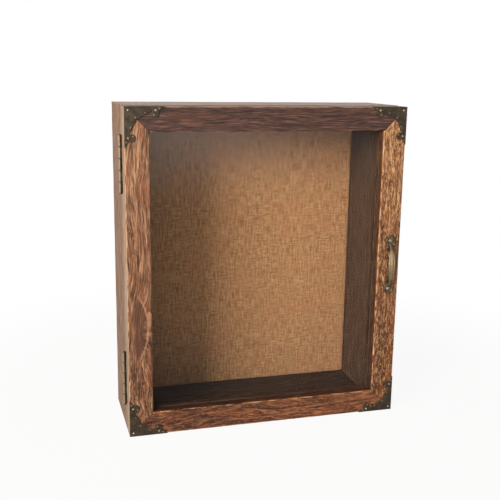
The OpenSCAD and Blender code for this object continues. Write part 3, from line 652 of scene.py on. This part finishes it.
def door_board(run, colours, figure, **more):
    """A member of the door's frame, with what all four share."""
    across = "X" if run == "Z" else "Z"
    board = {"run": run, "across": across, "body": "door", "slot": "door_wood", "inside": inside_door}
    board.update({"faded": faded_door, "fade": 0.7, "bare": paint(156, 132, 106)})
    board["colours"] = [paint(*colour) for colour in colours]
    figure = {"round": 0.5, "grid": 1.0, "mitre_run": 25.0} | figure
    return board | {"figure": figure} | more


def case_board(run, colours, figure, **more):
    """A board of the case, with what all four share."""
    board = {"run": run, "across": "Y", "body": "case", "slot": "case_wood", "inside": inside_case}
    board.update({"faded": faded_case, "fade": 0.3, "bare": paint(176, 152, 128)})
    board["colours"] = [paint(*colour) for colour in colours]
    board.update({"joint": 0.7, "joint_colour": paint(140, 112, 92)})
    figure = {"round": 0.9, "grid": 1.6, "mitre_run": 13.0 if run == "Z" else 20.0} | figure
    return board | {"figure": figure} | more


BOARDS = {
    "door_left_stile": door_board(
        "Z", ((178, 131, 95), (116, 76, 49), (58, 33, 21), (118, 62, 33)),
        {"seed": 3.0, "heart": (-215, -20), "wave": 9.0, "ripple": 2.6, "spacing": 4.0,
         "lenses": [(118, -134, 34, 9, 9)],
         "curl": slope(110, 40, 0.1, 0.75), "shade": slope(40, 320, -0.4, 0.35)},
        eye=(117, -140.0, 38, 11.8), joint=0.6),
    "door_right_stile": door_board(
        "Z", ((206, 156, 107), (148, 98, 60), (80, 44, 23), (138, 75, 40)),
        {"seed": 11.0, "heart": (60, -110), "wave": 6.0, "ripple": 2.6, "spacing": 5.5,
         "curl": steady(1.0), "shade": slope(30, 320, -1.8, 0.4)}),
    "door_top_rail": door_board(
        "X", ((114, 77, 61), (67, 44, 35), (38, 26, 21), (86, 51, 35)),
        {"seed": 19.0, "heart": (420, -40), "wave": 4.0, "ripple": 0.9, "spacing": 3.0,
         "curl": steady(0.1), "shade": steady(0.0)}, worn=paint(168, 126, 104), veins=0.7),
    "door_bottom_rail": door_board(
        "X", ((164, 104, 64), (94, 53, 30), (48, 27, 17), (112, 58, 28)),
        {"seed": 27.0, "heart": (-70, -30), "wave": 8.0, "ripple": 2.6, "spacing": 4.4,
         "curl": steady(0.6), "shade": slope(-120, 120, -0.6, 0.4)}, joint=0.4),
    "case_left_side": case_board(
        "Z", ((142, 108, 78), (108, 76, 51), (80, 53, 35), (112, 70, 45)),
        {"seed": 41.0, "heart": (-260, -140), "wave": 5.0, "ripple": 1.2, "spacing": 5.0,
         "curl": steady(0.0), "shade": slope(0, 340, -0.1, 0.1)}),
    "case_right_side": case_board(
        "Z", ((176, 136, 106), (132, 92, 68), (88, 56, 42), (130, 80, 56)),
        {"seed": 53.0, "heart": (-200, 240), "wave": 6.0, "ripple": 1.5, "spacing": 5.0,
         "curl": steady(0.1), "shade": steady(0.0)}),
    # The top board's pale greyish colours paint the sheen that its upper face catches
    "case_top_board": case_board(
        "X", ((212, 186, 172), (192, 166, 152), (160, 134, 120), (190, 158, 140)),
        {"seed": 61.0, "heart": (-160, 420), "wave": 6.0, "ripple": 1.5, "spacing": 5.0,
         "curl": steady(0.0), "shade": steady(0.0)}),
    "case_bottom_board": case_board(
        "X", ((150, 112, 88), (112, 78, 60), (72, 48, 38), (110, 70, 50)),
        {"seed": 73.0, "heart": (-160, -90), "wave": 6.0, "ripple": 1.5, "spacing": 5.0,
         "curl": steady(0.0), "shade": steady(0.0)}, left=0.08),
}

for node, board in BOARDS.items():
    carve_board(node, board, carved_wood(node + "_wood", board))


# The linen on its pin board

LINEN_TURN_IN = 20.0
LINEN_THICK = 0.5


def fold_over(past, bend_r, side_l):
    """Where cloth goes past an edge: how far out and how far back, for a length of cloth."""
    quarter = bend_r * math.pi / 2
    if past <= 0:
        return past, 0.0
    if past < quarter:
        angle = past / bend_r
        return bend_r * math.sin(angle), bend_r * (1 - math.cos(angle))
    past -= quarter
    if past < side_l:
        return bend_r, bend_r + past
    past -= side_l
    if past < quarter:
        angle = past / bend_r
        return bend_r * math.cos(angle), bend_r + side_l + bend_r * math.sin(angle)
    past -= quarter
    return -past, 2 * bend_r + side_l


def stretch_linen():
    """The cloth: its face, then four flaps folded round the pin board and mitred behind it."""
    bend_r = 0.9
    lap = 0.02
    waves = 0.12
    half_w = (LINEN_HIGH.x - LINEN_LOW.x) / 2 - LINEN_THICK / 2
    half_h = (LINEN_HIGH.z - LINEN_LOW.z) / 2 - LINEN_THICK / 2
    mid_z = (LINEN_HIGH.z + LINEN_LOW.z) / 2
    front_y = LINEN_LOW.y + LINEN_THICK / 2
    depth = LINEN_HIGH.y - LINEN_LOW.y - LINEN_THICK
    side_l = depth - 2 * bend_r
    flat_w, flat_h = half_w - bend_r, half_h - bend_r
    flap = math.pi * bend_r + side_l + LINEN_TURN_IN
    mesh = bmesh.new()
    columns, rows, folds = 84, 104, 28

    def point(x, z):
        pull = waves * noise.noise(Vector((x / 9, z / 60, 2.0)))
        pull += waves * noise.noise(Vector((x / 60, z / 11, 5.0)))
        return mesh.verts.new(Vector((x, front_y + pull, mid_z + z)) * MM)

    grid = []
    for r in range(rows + 1):
        z = -flat_h + 2 * flat_h * r / rows
        grid.append([point(-flat_w + 2 * flat_w * c / columns, z) for c in range(columns + 1)])
    for r in range(rows):
        for c in range(columns):
            mesh.faces.new((grid[r][c], grid[r][c + 1], grid[r + 1][c + 1], grid[r + 1][c]))
    steps = [flap * k / folds for k in range(1, folds + 1)]
    borders = [
        ([grid[0][c] for c in range(columns + 1)], (0, -1)),
        ([grid[r][columns] for r in range(rows + 1)], (1, 0)),
        ([grid[rows][c] for c in reversed(range(columns + 1))], (0, 1)),
        ([grid[r][0] for r in reversed(range(rows + 1))], (-1, 0)),
    ]
    side_end = math.pi * bend_r / 2 + side_l
    for border, (out_x, out_z) in borders:
        line = border
        for past in steps:
            out, back = fold_over(past, bend_r, side_l)
            mitre = max(0.0, past - side_end - bend_r)
            following = []
            for vert in border:
                x, z = vert.co.x / MM, vert.co.z / MM - mid_z
                reach = flat_w if out_z else flat_h
                shrink = 1 - mitre / reach
                if out_z:
                    spot = (x * shrink, out_z * (flat_h + out))
                else:
                    spot = (out_x * (flat_w + out), z * shrink)
                y = back + (lap if mitre and out_z else 0)
                following.append(mesh.verts.new(Vector((spot[0], front_y + y, mid_z + spot[1])) * MM))
            for k in range(len(line) - 1):
                mesh.faces.new((line[k + 1], line[k], following[k], following[k + 1]))
            line = following
    bmesh.ops.recalc_face_normals(mesh, faces=mesh.faces)
    data = bpy.data.meshes.new("linen_stretched")
    mesh.to_mesh(data)
    mesh.free()
    data.shade_smooth()
    data.materials.append(linen_cloth())
    cloth = add_object("linen_stretched", data, "case", "linen", "linen_cover")
    solid = cloth.modifiers.new("thickness", "SOLIDIFY")
    solid.thickness = LINEN_THICK * MM
    solid.offset = 0.0


stretch_linen()

# The corner plates

PLATE_LEG = 40.0
PLATE_T = 0.8
LOBE_AT = (30.5, 7.1)
LOBE_R = 3.9
NECK_AT = (28.55, 4.0)
THROAT = 12.5
INNER_LOBE_R = 2.0
NAIL_IN = 3.8
PLATE_BEADS = ((28.9, 8.6, 0.9), (34.5, 2.1, 0.8), (20.5, 6.4, 0.8), (THROAT - 1.5, THROAT - 1.5, 1.0))
PLATE_GRID = 0.5
BORDER_H = 0.20
FAN_H = 0.22
FAN_RINGS = (6.2, 9.4)
PETAL_H = 0.16
VINE_H = 0.26
LEAF_H = 0.20
LEAVES = 5
BEAD_H = 0.4
FULL_RELIEF = 0.45


def outline_distance(x, z, corners):
    """How far a point lies outside a closed outline; less than zero inside it."""
    nearest = 1e9
    inside = False
    for (ax, az), (bx, bz) in zip(corners, corners[1:] + corners[:1]):
        run_x, run_z = bx - ax, bz - az
        share = ((x - ax) * run_x + (z - az) * run_z) / (run_x ** 2 + run_z ** 2)
        share = min(1.0, max(0.0, share))
        nearest = min(nearest, math.hypot(x - ax - share * run_x, z - az - share * run_z))
        if (az > z) != (bz > z) and x < ax + (z - az) / (bz - az) * run_x:
            inside = not inside
    return -nearest if inside else nearest


def both_legs(spot):
    """A spot on one leg of a plate, and its twin on the other leg."""
    return (spot, spot[::-1])


PLATE_CORNERS = [(0, 0), (PLATE_LEG, 0), LOBE_AT, NECK_AT, (THROAT, THROAT)]
PLATE_CORNERS += [NECK_AT[::-1], LOBE_AT[::-1], (0, PLATE_LEG)]


def plate_distance(x, z):
    """How far a point lies outside a corner plate's outline, drawn for the bottom left corner."""
    found = outline_distance(x, z, PLATE_CORNERS)
    for cx, cz in both_legs(LOBE_AT):
        found = min(found, math.hypot(x - cx, z - cz) - LOBE_R)
    inner = THROAT - INNER_LOBE_R / 2
    found = min(found, math.hypot(x - inner, z - inner) - INNER_LOBE_R)
    return max(found, -x, -z)


def ridge(off, half):
    """A rounded ridge, 1 in its middle and 0 from half away."""
    return math.cos(min(1.0, abs(off) / half) * math.pi / 2) ** 2


def scroll_points():
    """A vine along a leg that curls in its lobe and runs to the throat, as points."""
    points = []
    curl, stem = 60, 50
    for k in range(curl):
        share = k / (curl - 1)
        angle = 0.6 + 5.2 * share
        radius = 0.6 + 2.0 * share
        points.append((LOBE_AT[0] + radius * math.cos(angle) - 0.3, LOBE_AT[1] + radius * math.sin(angle)))
    for k in range(stem):
        share = k / (stem - 1)
        points.append((27.5 - 16.5 * share, 3.2 + 1.2 * math.sin(share * math.pi * 2.2) + 1.6 * share))
    return points


SCROLL = scroll_points()


def corner_fan(x, z):
    """Two scalloped rings round the corner nail, with petals between them."""
    from_nail = math.hypot(x - NAIL_IN, z - NAIL_IN)
    turn = math.atan2(z - NAIL_IN, x - NAIL_IN)
    rise = 0.0
    for radius in FAN_RINGS:
        rise = max(rise, FAN_H * ridge(from_nail - radius - 0.35 * math.cos(9 * turn), 0.6))
    if from_nail < 12:
        rise = max(rise, PETAL_H * max(0.0, math.cos(16 * turn)) * ridge(from_nail - 6.0, 4.5))
    return rise


def leg_ornament(along, away):
    """The vine, its leaves and its beads at a point of a leg."""
    near = min(math.hypot(along - px, away - pz) for px, pz in SCROLL)
    rise = VINE_H * ridge(near, 0.6)
    for k in range(LEAVES):
        leaf_x = 13.5 + 3.0 * k
        leaf = math.hypot((along - leaf_x) / 1.4, (away - 3.4 - 0.9 * (-1) ** k) / 0.7)
        rise = max(rise, LEAF_H * ridge(leaf, 1.0))
    for bx, bz, radius in PLATE_BEADS:
        off = math.hypot(along - bx, away - bz) / radius
        if off < 1.0:
            rise = max(rise, 0.2 + BEAD_H * math.sqrt(1 - off * off))
    return rise


def plate_height(x, z):
    """How far the pressed ornament stands above the sheet at a point of the plate."""
    edge = -plate_distance(x, z)
    along, away = max(x, z), min(x, z)
    border = BORDER_H * max(ridge(away - 0.8, 0.55), ridge(edge - 0.8, 0.5))
    rise = max(border, corner_fan(x, z), leg_ornament(along, away))
    stipple = 0.03 * noise.noise(Vector((x * 1.6, z * 1.6, 4.0)))
    rolled = 0.3 * max(0.0, 1 - edge / 0.45) ** 2
    return max(0.0, rise + stipple) - rolled


def press_plate():
    """The plate's grid: places, heights, and the cells that lie within its outline."""
    count = int(PLATE_LEG / PLATE_GRID) + 2
    spots = {}
    for i in range(count):
        for j in range(count):
            x, z = i * PLATE_GRID, j * PLATE_GRID
            spots[i, j] = (x, z, plate_distance(x, z))
    cells = []
    for i in range(count - 1):
        for j in range(count - 1):
            ring = ((i, j), (i + 1, j), (i + 1, j + 1), (i, j + 1))
            if all(spots[key][2] < 0.55 * PLATE_GRID for key in ring):
                cells.append(ring)
    uses = {}
    for ring in cells:
        for first, second in zip(ring, ring[1:] + ring[:1]):
            key = tuple(sorted((first, second)))
            uses.setdefault(key, []).append((first, second))
    rim = [pair[0] for pair in uses.values() if len(pair) == 1]
    on_rim = {key for pair in rim for key in pair}
    places = {}
    for key in {key for ring in cells for key in ring}:
        x, z, off = spots[key]
        if key in on_rim:
            small = 0.05
            slope_x = (plate_distance(x + small, z) - plate_distance(x - small, z)) / (2 * small)
            slope_z = (plate_distance(x, z + small) - plate_distance(x, z - small)) / (2 * small)
            length = math.hypot(slope_x, slope_z) or 1.0
            x = max(0.0, x - off * slope_x / length)
            z = max(0.0, z - off * slope_z / length)
        places[key] = (x, z, plate_height(x, z))
    return places, cells, rim


def fit_plates(material):
    """The pressed plate, turned to each corner of the door."""
    places, cells, rim = press_plate()
    for right, across in ((1, "right"), (-1, "left")):
        for top, up in ((1, "top"), (-1, "bottom")):
            node = f"corner_plate_{up}_{across}"
            mesh = bmesh.new()
            raised = mesh.verts.layers.float.new("raised")
            front, back = {}, {}
            for key, (x, z, height) in places.items():
                at_x = right * (HALF_W - x)
                at_z = DOOR_MID_Z + top * (DOOR_HALF_H - z)
                front[key] = mesh.verts.new(Vector((at_x, FACE_Y - PLATE_T - height, at_z)) * MM)
                front[key][raised] = max(0.0, height) / FULL_RELIEF
                back[key] = mesh.verts.new(Vector((at_x, FACE_Y, at_z)) * MM)
            for ring in cells:
                mesh.faces.new([front[key] for key in ring])
                mesh.faces.new([back[key] for key in reversed(ring)])
            for first, second in rim:
                mesh.faces.new((front[second], front[first], back[first], back[second]))
            bmesh.ops.recalc_face_normals(mesh, faces=mesh.faces)
            data = bpy.data.meshes.new(node + "_pressed")
            mesh.to_mesh(data)
            mesh.free()
            data.shade_smooth()
            data.set_sharp_from_angle(angle=math.radians(50))
            data.materials.append(material)
            add_object(node + "_pressed", data, "door", "antique_bronze", node)


plate_bronze = bronze("plate_bronze", paint(46, 36, 25), paint(66, 52, 36), paint(108, 87, 59), "raised")
fit_plates(plate_bronze)

# The pull

PULL_MID_X = (PULL_LOW.x + PULL_HIGH.x) / 2
PULL_HALF = (PULL_HIGH.z - PULL_LOW.z) / 2
PULL_REACH = PULL_HIGH.y - PULL_LOW.y
END_R = (PULL_HIGH.x - PULL_LOW.x) / 2
END_Z = PULL_HALF - END_R
END_T = 1.8
RIM_R = 4.6
RIM_H = 0.75
PETALS = 10
BOW_HALF = END_Z - 3.0
BEAD_PAIRS = ((4.2, 22.4, 1.5), (3.75, 19.5, 1.4), (3.0, 16.9, 1.15))
TONGUE_Z = 19.5
TONGUE = (3.8, 1.6, 4.2)


def bow_section(z):
    """Half width, half thickness and stand-off of the bow at a height above its middle."""
    leaf = max(0.0, 1 - (abs(z) / 18.5) ** 2.2)
    arch = max(0.0, 1 - (abs(z) / BOW_HALF) ** 2.2) ** 0.8
    return 1.7 + 2.75 * leaf, 0.95 + 0.85 * leaf, 1.1 + (PULL_REACH - 3.4) * arch


def cast_bow(mesh):
    """The bow: a leaf with three ribs and a flute on each side of the middle one, on an arch."""
    rings_count, sides = 90, 56
    loops = []
    for k in range(rings_count + 1):
        z = BOW_HALF * (2 * k / rings_count - 1)
        half_w, half_t, stand = bow_section(z)
        loop = []
        for s in range(sides):
            across = math.cos(TURN * s / sides)
            out = math.sin(TURN * s / sides)
            rib = 0.0
            if out > 0:
                rib = 0.42 * ridge(across, 0.24) + 0.25 * ridge(abs(across) - 0.66, 0.22)
                rib = (rib - 0.35 * ridge(abs(across) - 0.38, 0.2)) * half_w / 4.45
            y = FACE_Y - stand - out * half_t - rib
            loop.append(mesh.verts.new(Vector((PULL_MID_X + across * half_w, y, DOOR_MID_Z + z)) * MM))
        loops.append(loop)
    for first, second in zip(loops, loops[1:]):
        for s in range(sides):
            t = (s + 1) % sides
            mesh.faces.new((first[s], first[t], second[t], second[s]))
    mesh.faces.new(list(reversed(loops[0])))
    mesh.faces.new(loops[-1])


def cast_end(mesh, end):
    """One round end plate: a dished seat for the screw, a rim, and petals round its edge."""
    rings_count, sides = 16, 72
    centre = Vector((PULL_MID_X, FACE_Y, DOOR_MID_Z + end * END_Z))
    loops = []
    for k in range(1, rings_count + 1):
        loop = []
        for s in range(sides):
            angle = TURN * s / sides
            edge = END_R - 0.35 + 0.35 * math.cos(PETALS * angle)
            radius = edge * k / rings_count
            height = END_T - 0.15
            height += RIM_H * ridge(radius - RIM_R, 0.9)
            height += 0.2 * ridge(radius - 5.7, 0.4) * (0.5 + 0.5 * math.cos(2 * PETALS * angle))
            if k == rings_count:
                height -= 0.6
            spot = centre + Vector((radius * math.cos(angle), -height, radius * math.sin(angle)))
            loop.append(mesh.verts.new(spot * MM))
        loops.append(loop)
    middle = mesh.verts.new((centre + Vector((0, -END_T + 0.15, 0))) * MM)
    base = [mesh.verts.new(Vector((vert.co.x, FACE_Y * MM, vert.co.z))) for vert in loops[-1]]
    for s in range(sides):
        t = (s + 1) % sides
        mesh.faces.new((middle, loops[0][s], loops[0][t]))
        for first, second in zip(loops, loops[1:] + [base]):
            mesh.faces.new((first[s], second[s], second[t], first[t]))
    mesh.faces.new(base)


def cast_ball(mesh, x, z, height, size):
    """A cast bead or tongue, half sunk in the door's face: its middle and its three half sizes."""
    spot = Matrix.Translation(Vector((PULL_MID_X + x, FACE_Y - height, DOOR_MID_Z + z)) * MM)
    form = spot @ Matrix.Diagonal([half * MM for half in size] + [1])
    bmesh.ops.create_uvsphere(mesh, u_segments=28, v_segments=16, radius=1.0, matrix=form)


def rubbed(vert):
    """How bright use has rubbed the pull at a point of its mesh, from 0 to 1."""
    lean = max(0.0, -vert.normal.y)
    out = FACE_Y - vert.co.y / MM
    if abs(vert.co.z / MM - DOOR_MID_Z) > 16.0:
        return 0.05 + 0.6 * lean * lean * min(1.0, max(0.0, (out - 1.8) / 0.8))
    return 0.1 + 0.25 * lean * lean + 0.3 * out / PULL_REACH


def cast_pull(material):
    """The bow, its end plates, tongues and beads, fused into one casting."""
    mesh = bmesh.new()
    cast_bow(mesh)
    for end in (-1, 1):
        cast_end(mesh, end)
        cast_ball(mesh, 0, end * TONGUE_Z, 0.2, TONGUE)
        for side in (-1, 1):
            for x, z, radius in BEAD_PAIRS:
                cast_ball(mesh, side * x, end * z, 1.2, (radius, radius, radius))
    bmesh.ops.recalc_face_normals(mesh, faces=mesh.faces)
    rough = bpy.data.meshes.new("pull_rough")
    mesh.to_mesh(rough)
    mesh.free()
    blank = bpy.data.objects.new("pull_blank", rough)
    bpy.context.scene.collection.objects.link(blank)
    skin = blank.modifiers.new("skin", "REMESH")
    skin.mode = "VOXEL"
    skin.voxel_size = 0.22 * MM
    smooth = blank.modifiers.new("smooth", "SMOOTH")
    smooth.iterations = 2
    smooth.factor = 0.4
    ready = blank.evaluated_get(bpy.context.evaluated_depsgraph_get())
    data = bpy.data.meshes.new_from_object(ready)
    bpy.data.objects.remove(blank)
    data.name = "pull_cast"
    for vert in data.vertices:
        vert.co.y = min(vert.co.y, FACE_Y * MM)
    raised = data.attributes.new("raised", "FLOAT", "POINT")
    raised.data.foreach_set("value", [rubbed(vert) for vert in data.vertices])
    data.shade_smooth()
    data.materials.clear()
    data.materials.append(material)
    add_object("pull_cast", data, "door", "antique_bronze", "pull_handle")


cast_pull(bronze("pull_bronze", paint(56, 43, 29), paint(102, 80, 54), paint(178, 148, 104), "raised", 0.7))

# The finishes of the nodes that stay as they are


HINGE_KNUCKLES = 5


def hinge_metal(node):
    """Worn bronze, with a painted highlight on the barrel's outer side and painted shade in the crease,
    dark at its joints.
    """
    low, high = extent(node)
    material, shader, w = new_material(node + "_bronze", metallic=0.5)
    part = w.split(w.place())
    count = w.sum("DIVIDE", w.minus(part["Z"], low.z * MM), (high.z - low.z) / HINGE_KNUCKLES * MM)
    off = w.sum("ABSOLUTE", w.minus(w.sum("FRACT", w.sum("ADD", count, 0.5)), 0.5))
    # Painted highlight on the barrel's outer side, where the light falls, and painted shade towards the
    # crease
    lit_side = w.span(part["X"], (low.x + 1.9) * MM, (low.x + 1.1) * MM)
    given = {"Place": w.place(), "Brassy": w.sum("MULTIPLY_ADD", lit_side, 0.75, 0.15)}
    given.update({"Dark": paint(44, 34, 24), "Mid": paint(80, 65, 47), "Bright": paint(134, 114, 88)})
    patina = w.group(PATINA, given)
    colour = w.blend(w.span(off, 0.035, 0.075, 0.85, 0.0), patina["Colour"], paint(48, 37, 27))
    w.finish(shader, colour, patina["Roughness"], patina["Height"], 0.05 * MM)
    return material


hinge_bronze = bronze("hinge_bronze", paint(78, 64, 46), paint(120, 102, 78), paint(176, 156, 124))
upper_metal = hinge_metal("upper_hinge_case_leaf")
lower_metal = hinge_metal("lower_hinge_case_leaf")
brass_nail = speckled("brass_nail", paint(118, 98, 74), paint(160, 140, 112), 900, 0.45, 0.7, 0.03)
zinc = speckled("zinc_steel", paint(150, 150, 148), paint(188, 188, 184), 700, 0.38, 0.9)
rubber = speckled("pad_rubber", paint(34, 33, 32), paint(50, 48, 46), 900, 0.7)
soft_board = speckled("soft_board", paint(150, 122, 92), paint(172, 144, 112), 500, 0.85, 0.0, 0.2)
bead_colours = (paint(104, 74, 56), paint(72, 48, 36), paint(44, 29, 22))
bead_across = plain_wood("bead_wood_across", "X", *bead_colours, 3.0)
bead_up = plain_wood("bead_wood_up", "Z", *bead_colours, 3.0)
ply = plain_wood("back_plywood", "Z", paint(208, 180, 144), paint(192, 161, 123), paint(170, 138, 102), 6.0)

# Each kept node's material, and how far its arrises are rounded
FINISHES = {
    "glass_pane": (picture_glass(), 0.0),
    "glass_bead_left": (bead_up, 0.5), "glass_bead_right": (bead_up, 0.5),
    "glass_bead_top": (bead_across, 0.5), "glass_bead_bottom": (bead_across, 0.5),
    "back_board": (ply, 0.3), "pin_board": (soft_board, 0.0),
    "upper_hinge_case_leaf": (upper_metal, 0.2), "lower_hinge_case_leaf": (lower_metal, 0.2),
    "upper_hinge_door_leaf": (upper_metal, 0.2), "lower_hinge_door_leaf": (lower_metal, 0.2),
    "upper_hinge_pin": (upper_metal, 0.2), "lower_hinge_pin": (lower_metal, 0.2),
    "case_hinge_screws": (hinge_bronze, 0.1), "door_hinge_screws": (hinge_bronze, 0.1),
    "pull_handle_screws": (hinge_bronze, 0.15), "corner_plate_nails": (brass_nail, 0.0),
    "left_keyhole_hanger": (zinc, 0.2), "right_keyhole_hanger": (zinc, 0.2), "hanger_screws": (zinc, 0.1),
    "back_board_screws": (zinc, 0.1), "catch_magnets": (zinc, 0.2), "strike_discs": (zinc, 0.2),
    "strike_screws": (zinc, 0.1), "case_corner_brads": (zinc, 0.0), "door_v_nails": (zinc, 0.0),
    "glass_bead_pins": (zinc, 0.0), "bumper_pads": (rubber, 0.2),
}


def dress(node, material, soften):
    """Gives a kept node its material, and rounds its arrises by a modifier."""
    piece = nodes[node]
    for held in piece.material_slots:
        held.link = "OBJECT"
        held.material = material
    if soften:
        weld = piece.modifiers.new("weld", "WELD")
        weld.merge_threshold = 0.001 * MM
        round_over = piece.modifiers.new("round_over", "BEVEL")
        round_over.width = soften * MM
        round_over.segments = 2
        round_over.limit_method = "ANGLE"
        round_over.angle_limit = math.radians(40)
        piece.modifiers.new("even_normals", "WEIGHTED_NORMAL")


for node, (material, soften) in FINISHES.items():
    dress(node, material, soften)

# The room: a pale floor, soft lamps and a white surround


def seen_or_mirrored(w):
    """1 where the camera looks, straight or by way of glass and metal."""
    path = w.put("ShaderNodeLightPath").outputs
    mirrored = w.sum("MAXIMUM", path["Is Glossy Ray"], path["Is Transmission Ray"])
    return w.sum("MAXIMUM", path["Is Camera Ray"], mirrored)


def pale_floor():
    """White to the camera, with the case's own soft shadow kept near it."""
    material, shader, w = new_material("pale_floor")
    tree = material.node_tree
    shader["Base Color"].default_value = (0.72, 0.66, 0.6, 1)
    shader["Roughness"].default_value = 0.9
    reach = w.put("ShaderNodeVectorMath", {0: w.place()}, operation="LENGTH").outputs["Value"]
    far = w.span(reach, 0.25, 0.6, 0.93, 1.0)
    glow = w.put("ShaderNodeEmission", {"Color": (1, 1, 1, 1), "Strength": 1.0})
    mixed = w.put("ShaderNodeMixShader")
    w.feed(mixed.inputs[0], w.times(seen_or_mirrored(w), far))
    w.feed(mixed.inputs[1], tree.nodes["Principled BSDF"].outputs[0])
    w.feed(mixed.inputs[2], glow.outputs[0])
    w.feed(tree.nodes["Material Output"].inputs["Surface"], mixed.outputs[0])
    return material


def lay_floor():
    """A wide plane just under the case's foot."""
    data = bpy.data.meshes.new("floor")
    half = 6.0
    low = -0.0002
    corners = [(-half, -half, low), (half, -half, low), (half, half, low), (-half, half, low)]
    data.from_pydata(corners, [], [(0, 1, 2, 3)])
    data.materials.append(pale_floor())
    floor = bpy.data.objects.new("floor", data)
    bpy.context.scene.collection.objects.link(floor)


def light_surround():
    """A white surround for what is seen, and a dimmer one as fill light."""
    world = bpy.data.worlds.new("surround")
    bpy.context.scene.world = world
    world.use_nodes = True
    w = Wiring(world.node_tree)
    background = world.node_tree.nodes["Background"]
    w.feed(background.inputs["Color"], (1, 1, 1, 1))
    w.feed(background.inputs["Strength"], w.span(seen_or_mirrored(w), 0.0, 1.0, 0.2, 1.0))


def hang_lamp(name, place, target, wide, high, watts, colour=(1, 1, 1)):
    """A rectangular soft lamp at a place, turned to its target."""
    lamp = bpy.data.lights.new(name, "AREA")
    lamp.shape = "RECTANGLE"
    lamp.size = wide
    lamp.size_y = high
    lamp.energy = watts
    lamp.color = colour
    holder = bpy.data.objects.new(name, lamp)
    bpy.context.scene.collection.objects.link(holder)
    holder.location = place
    holder.rotation_euler = (Vector(target) - Vector(place)).to_track_quat("-Z", "Y").to_euler()
    holder.visible_camera = False
    return holder


def hang_sheen_card():
    """A wide bluish card with soft edges, which only shows as a faint sheen in glass and metal."""
    card = hang_lamp("sheen_card", (0.05, -1.25, 0.36), (0.05, 0.0, 0.36), 1.6, 0.72, 26, (0.72, 0.88, 1.0))
    card.visible_diffuse = False
    card.data.use_nodes = True
    w = Wiring(card.data.node_tree)
    part = w.split(w.put("ShaderNodeNewGeometry").outputs["Parametric"])
    across = w.span(w.sum("ABSOLUTE", w.minus(part["X"], 0.5)), 0.05, 0.5, 1.0, 0.0)
    up = w.span(w.sum("ABSOLUTE", w.minus(part["Y"], 0.5)), 0.05, 0.5, 1.0, 0.0)
    w.feed(card.data.node_tree.nodes["Emission"].inputs["Strength"], w.times(across, up))


def set_camera():
    """The photograph's viewing point: the camera stands a little left and looks slightly down."""
    stand = (-0.2427, -0.8352, 0.3725)
    yaw, pitch, roll = (math.radians(angle) for angle in (-16.0, -12.54, -0.84))
    lens = bpy.data.cameras.new("camera")
    lens.lens = 57.53
    lens.sensor_width = 36.0
    camera = bpy.data.objects.new("camera", lens)
    bpy.context.scene.collection.objects.link(camera)
    turn = Matrix.Rotation(yaw, 3, "Z") @ Matrix.Rotation(pitch, 3, "X") @ Matrix.Rotation(roll, 3, "Y")
    upright = Euler((math.pi / 2, 0, 0)).to_matrix()
    camera.matrix_world = Matrix.Translation(stand) @ (turn @ upright).to_4x4()
    bpy.context.scene.camera = camera


lay_floor()
light_surround()
hang_lamp("key", (-1.8, -1.45, 0.95), (0, 0, 0.17), 1.0, 0.9, 80)
hang_lamp("fill", (-0.8, -2.1, 0.6), (0, 0, 0.17), 1.2, 1.2, 5)
hang_sheen_card()
set_camera()
bpy.context.scene.view_settings.view_transform = "Standard"
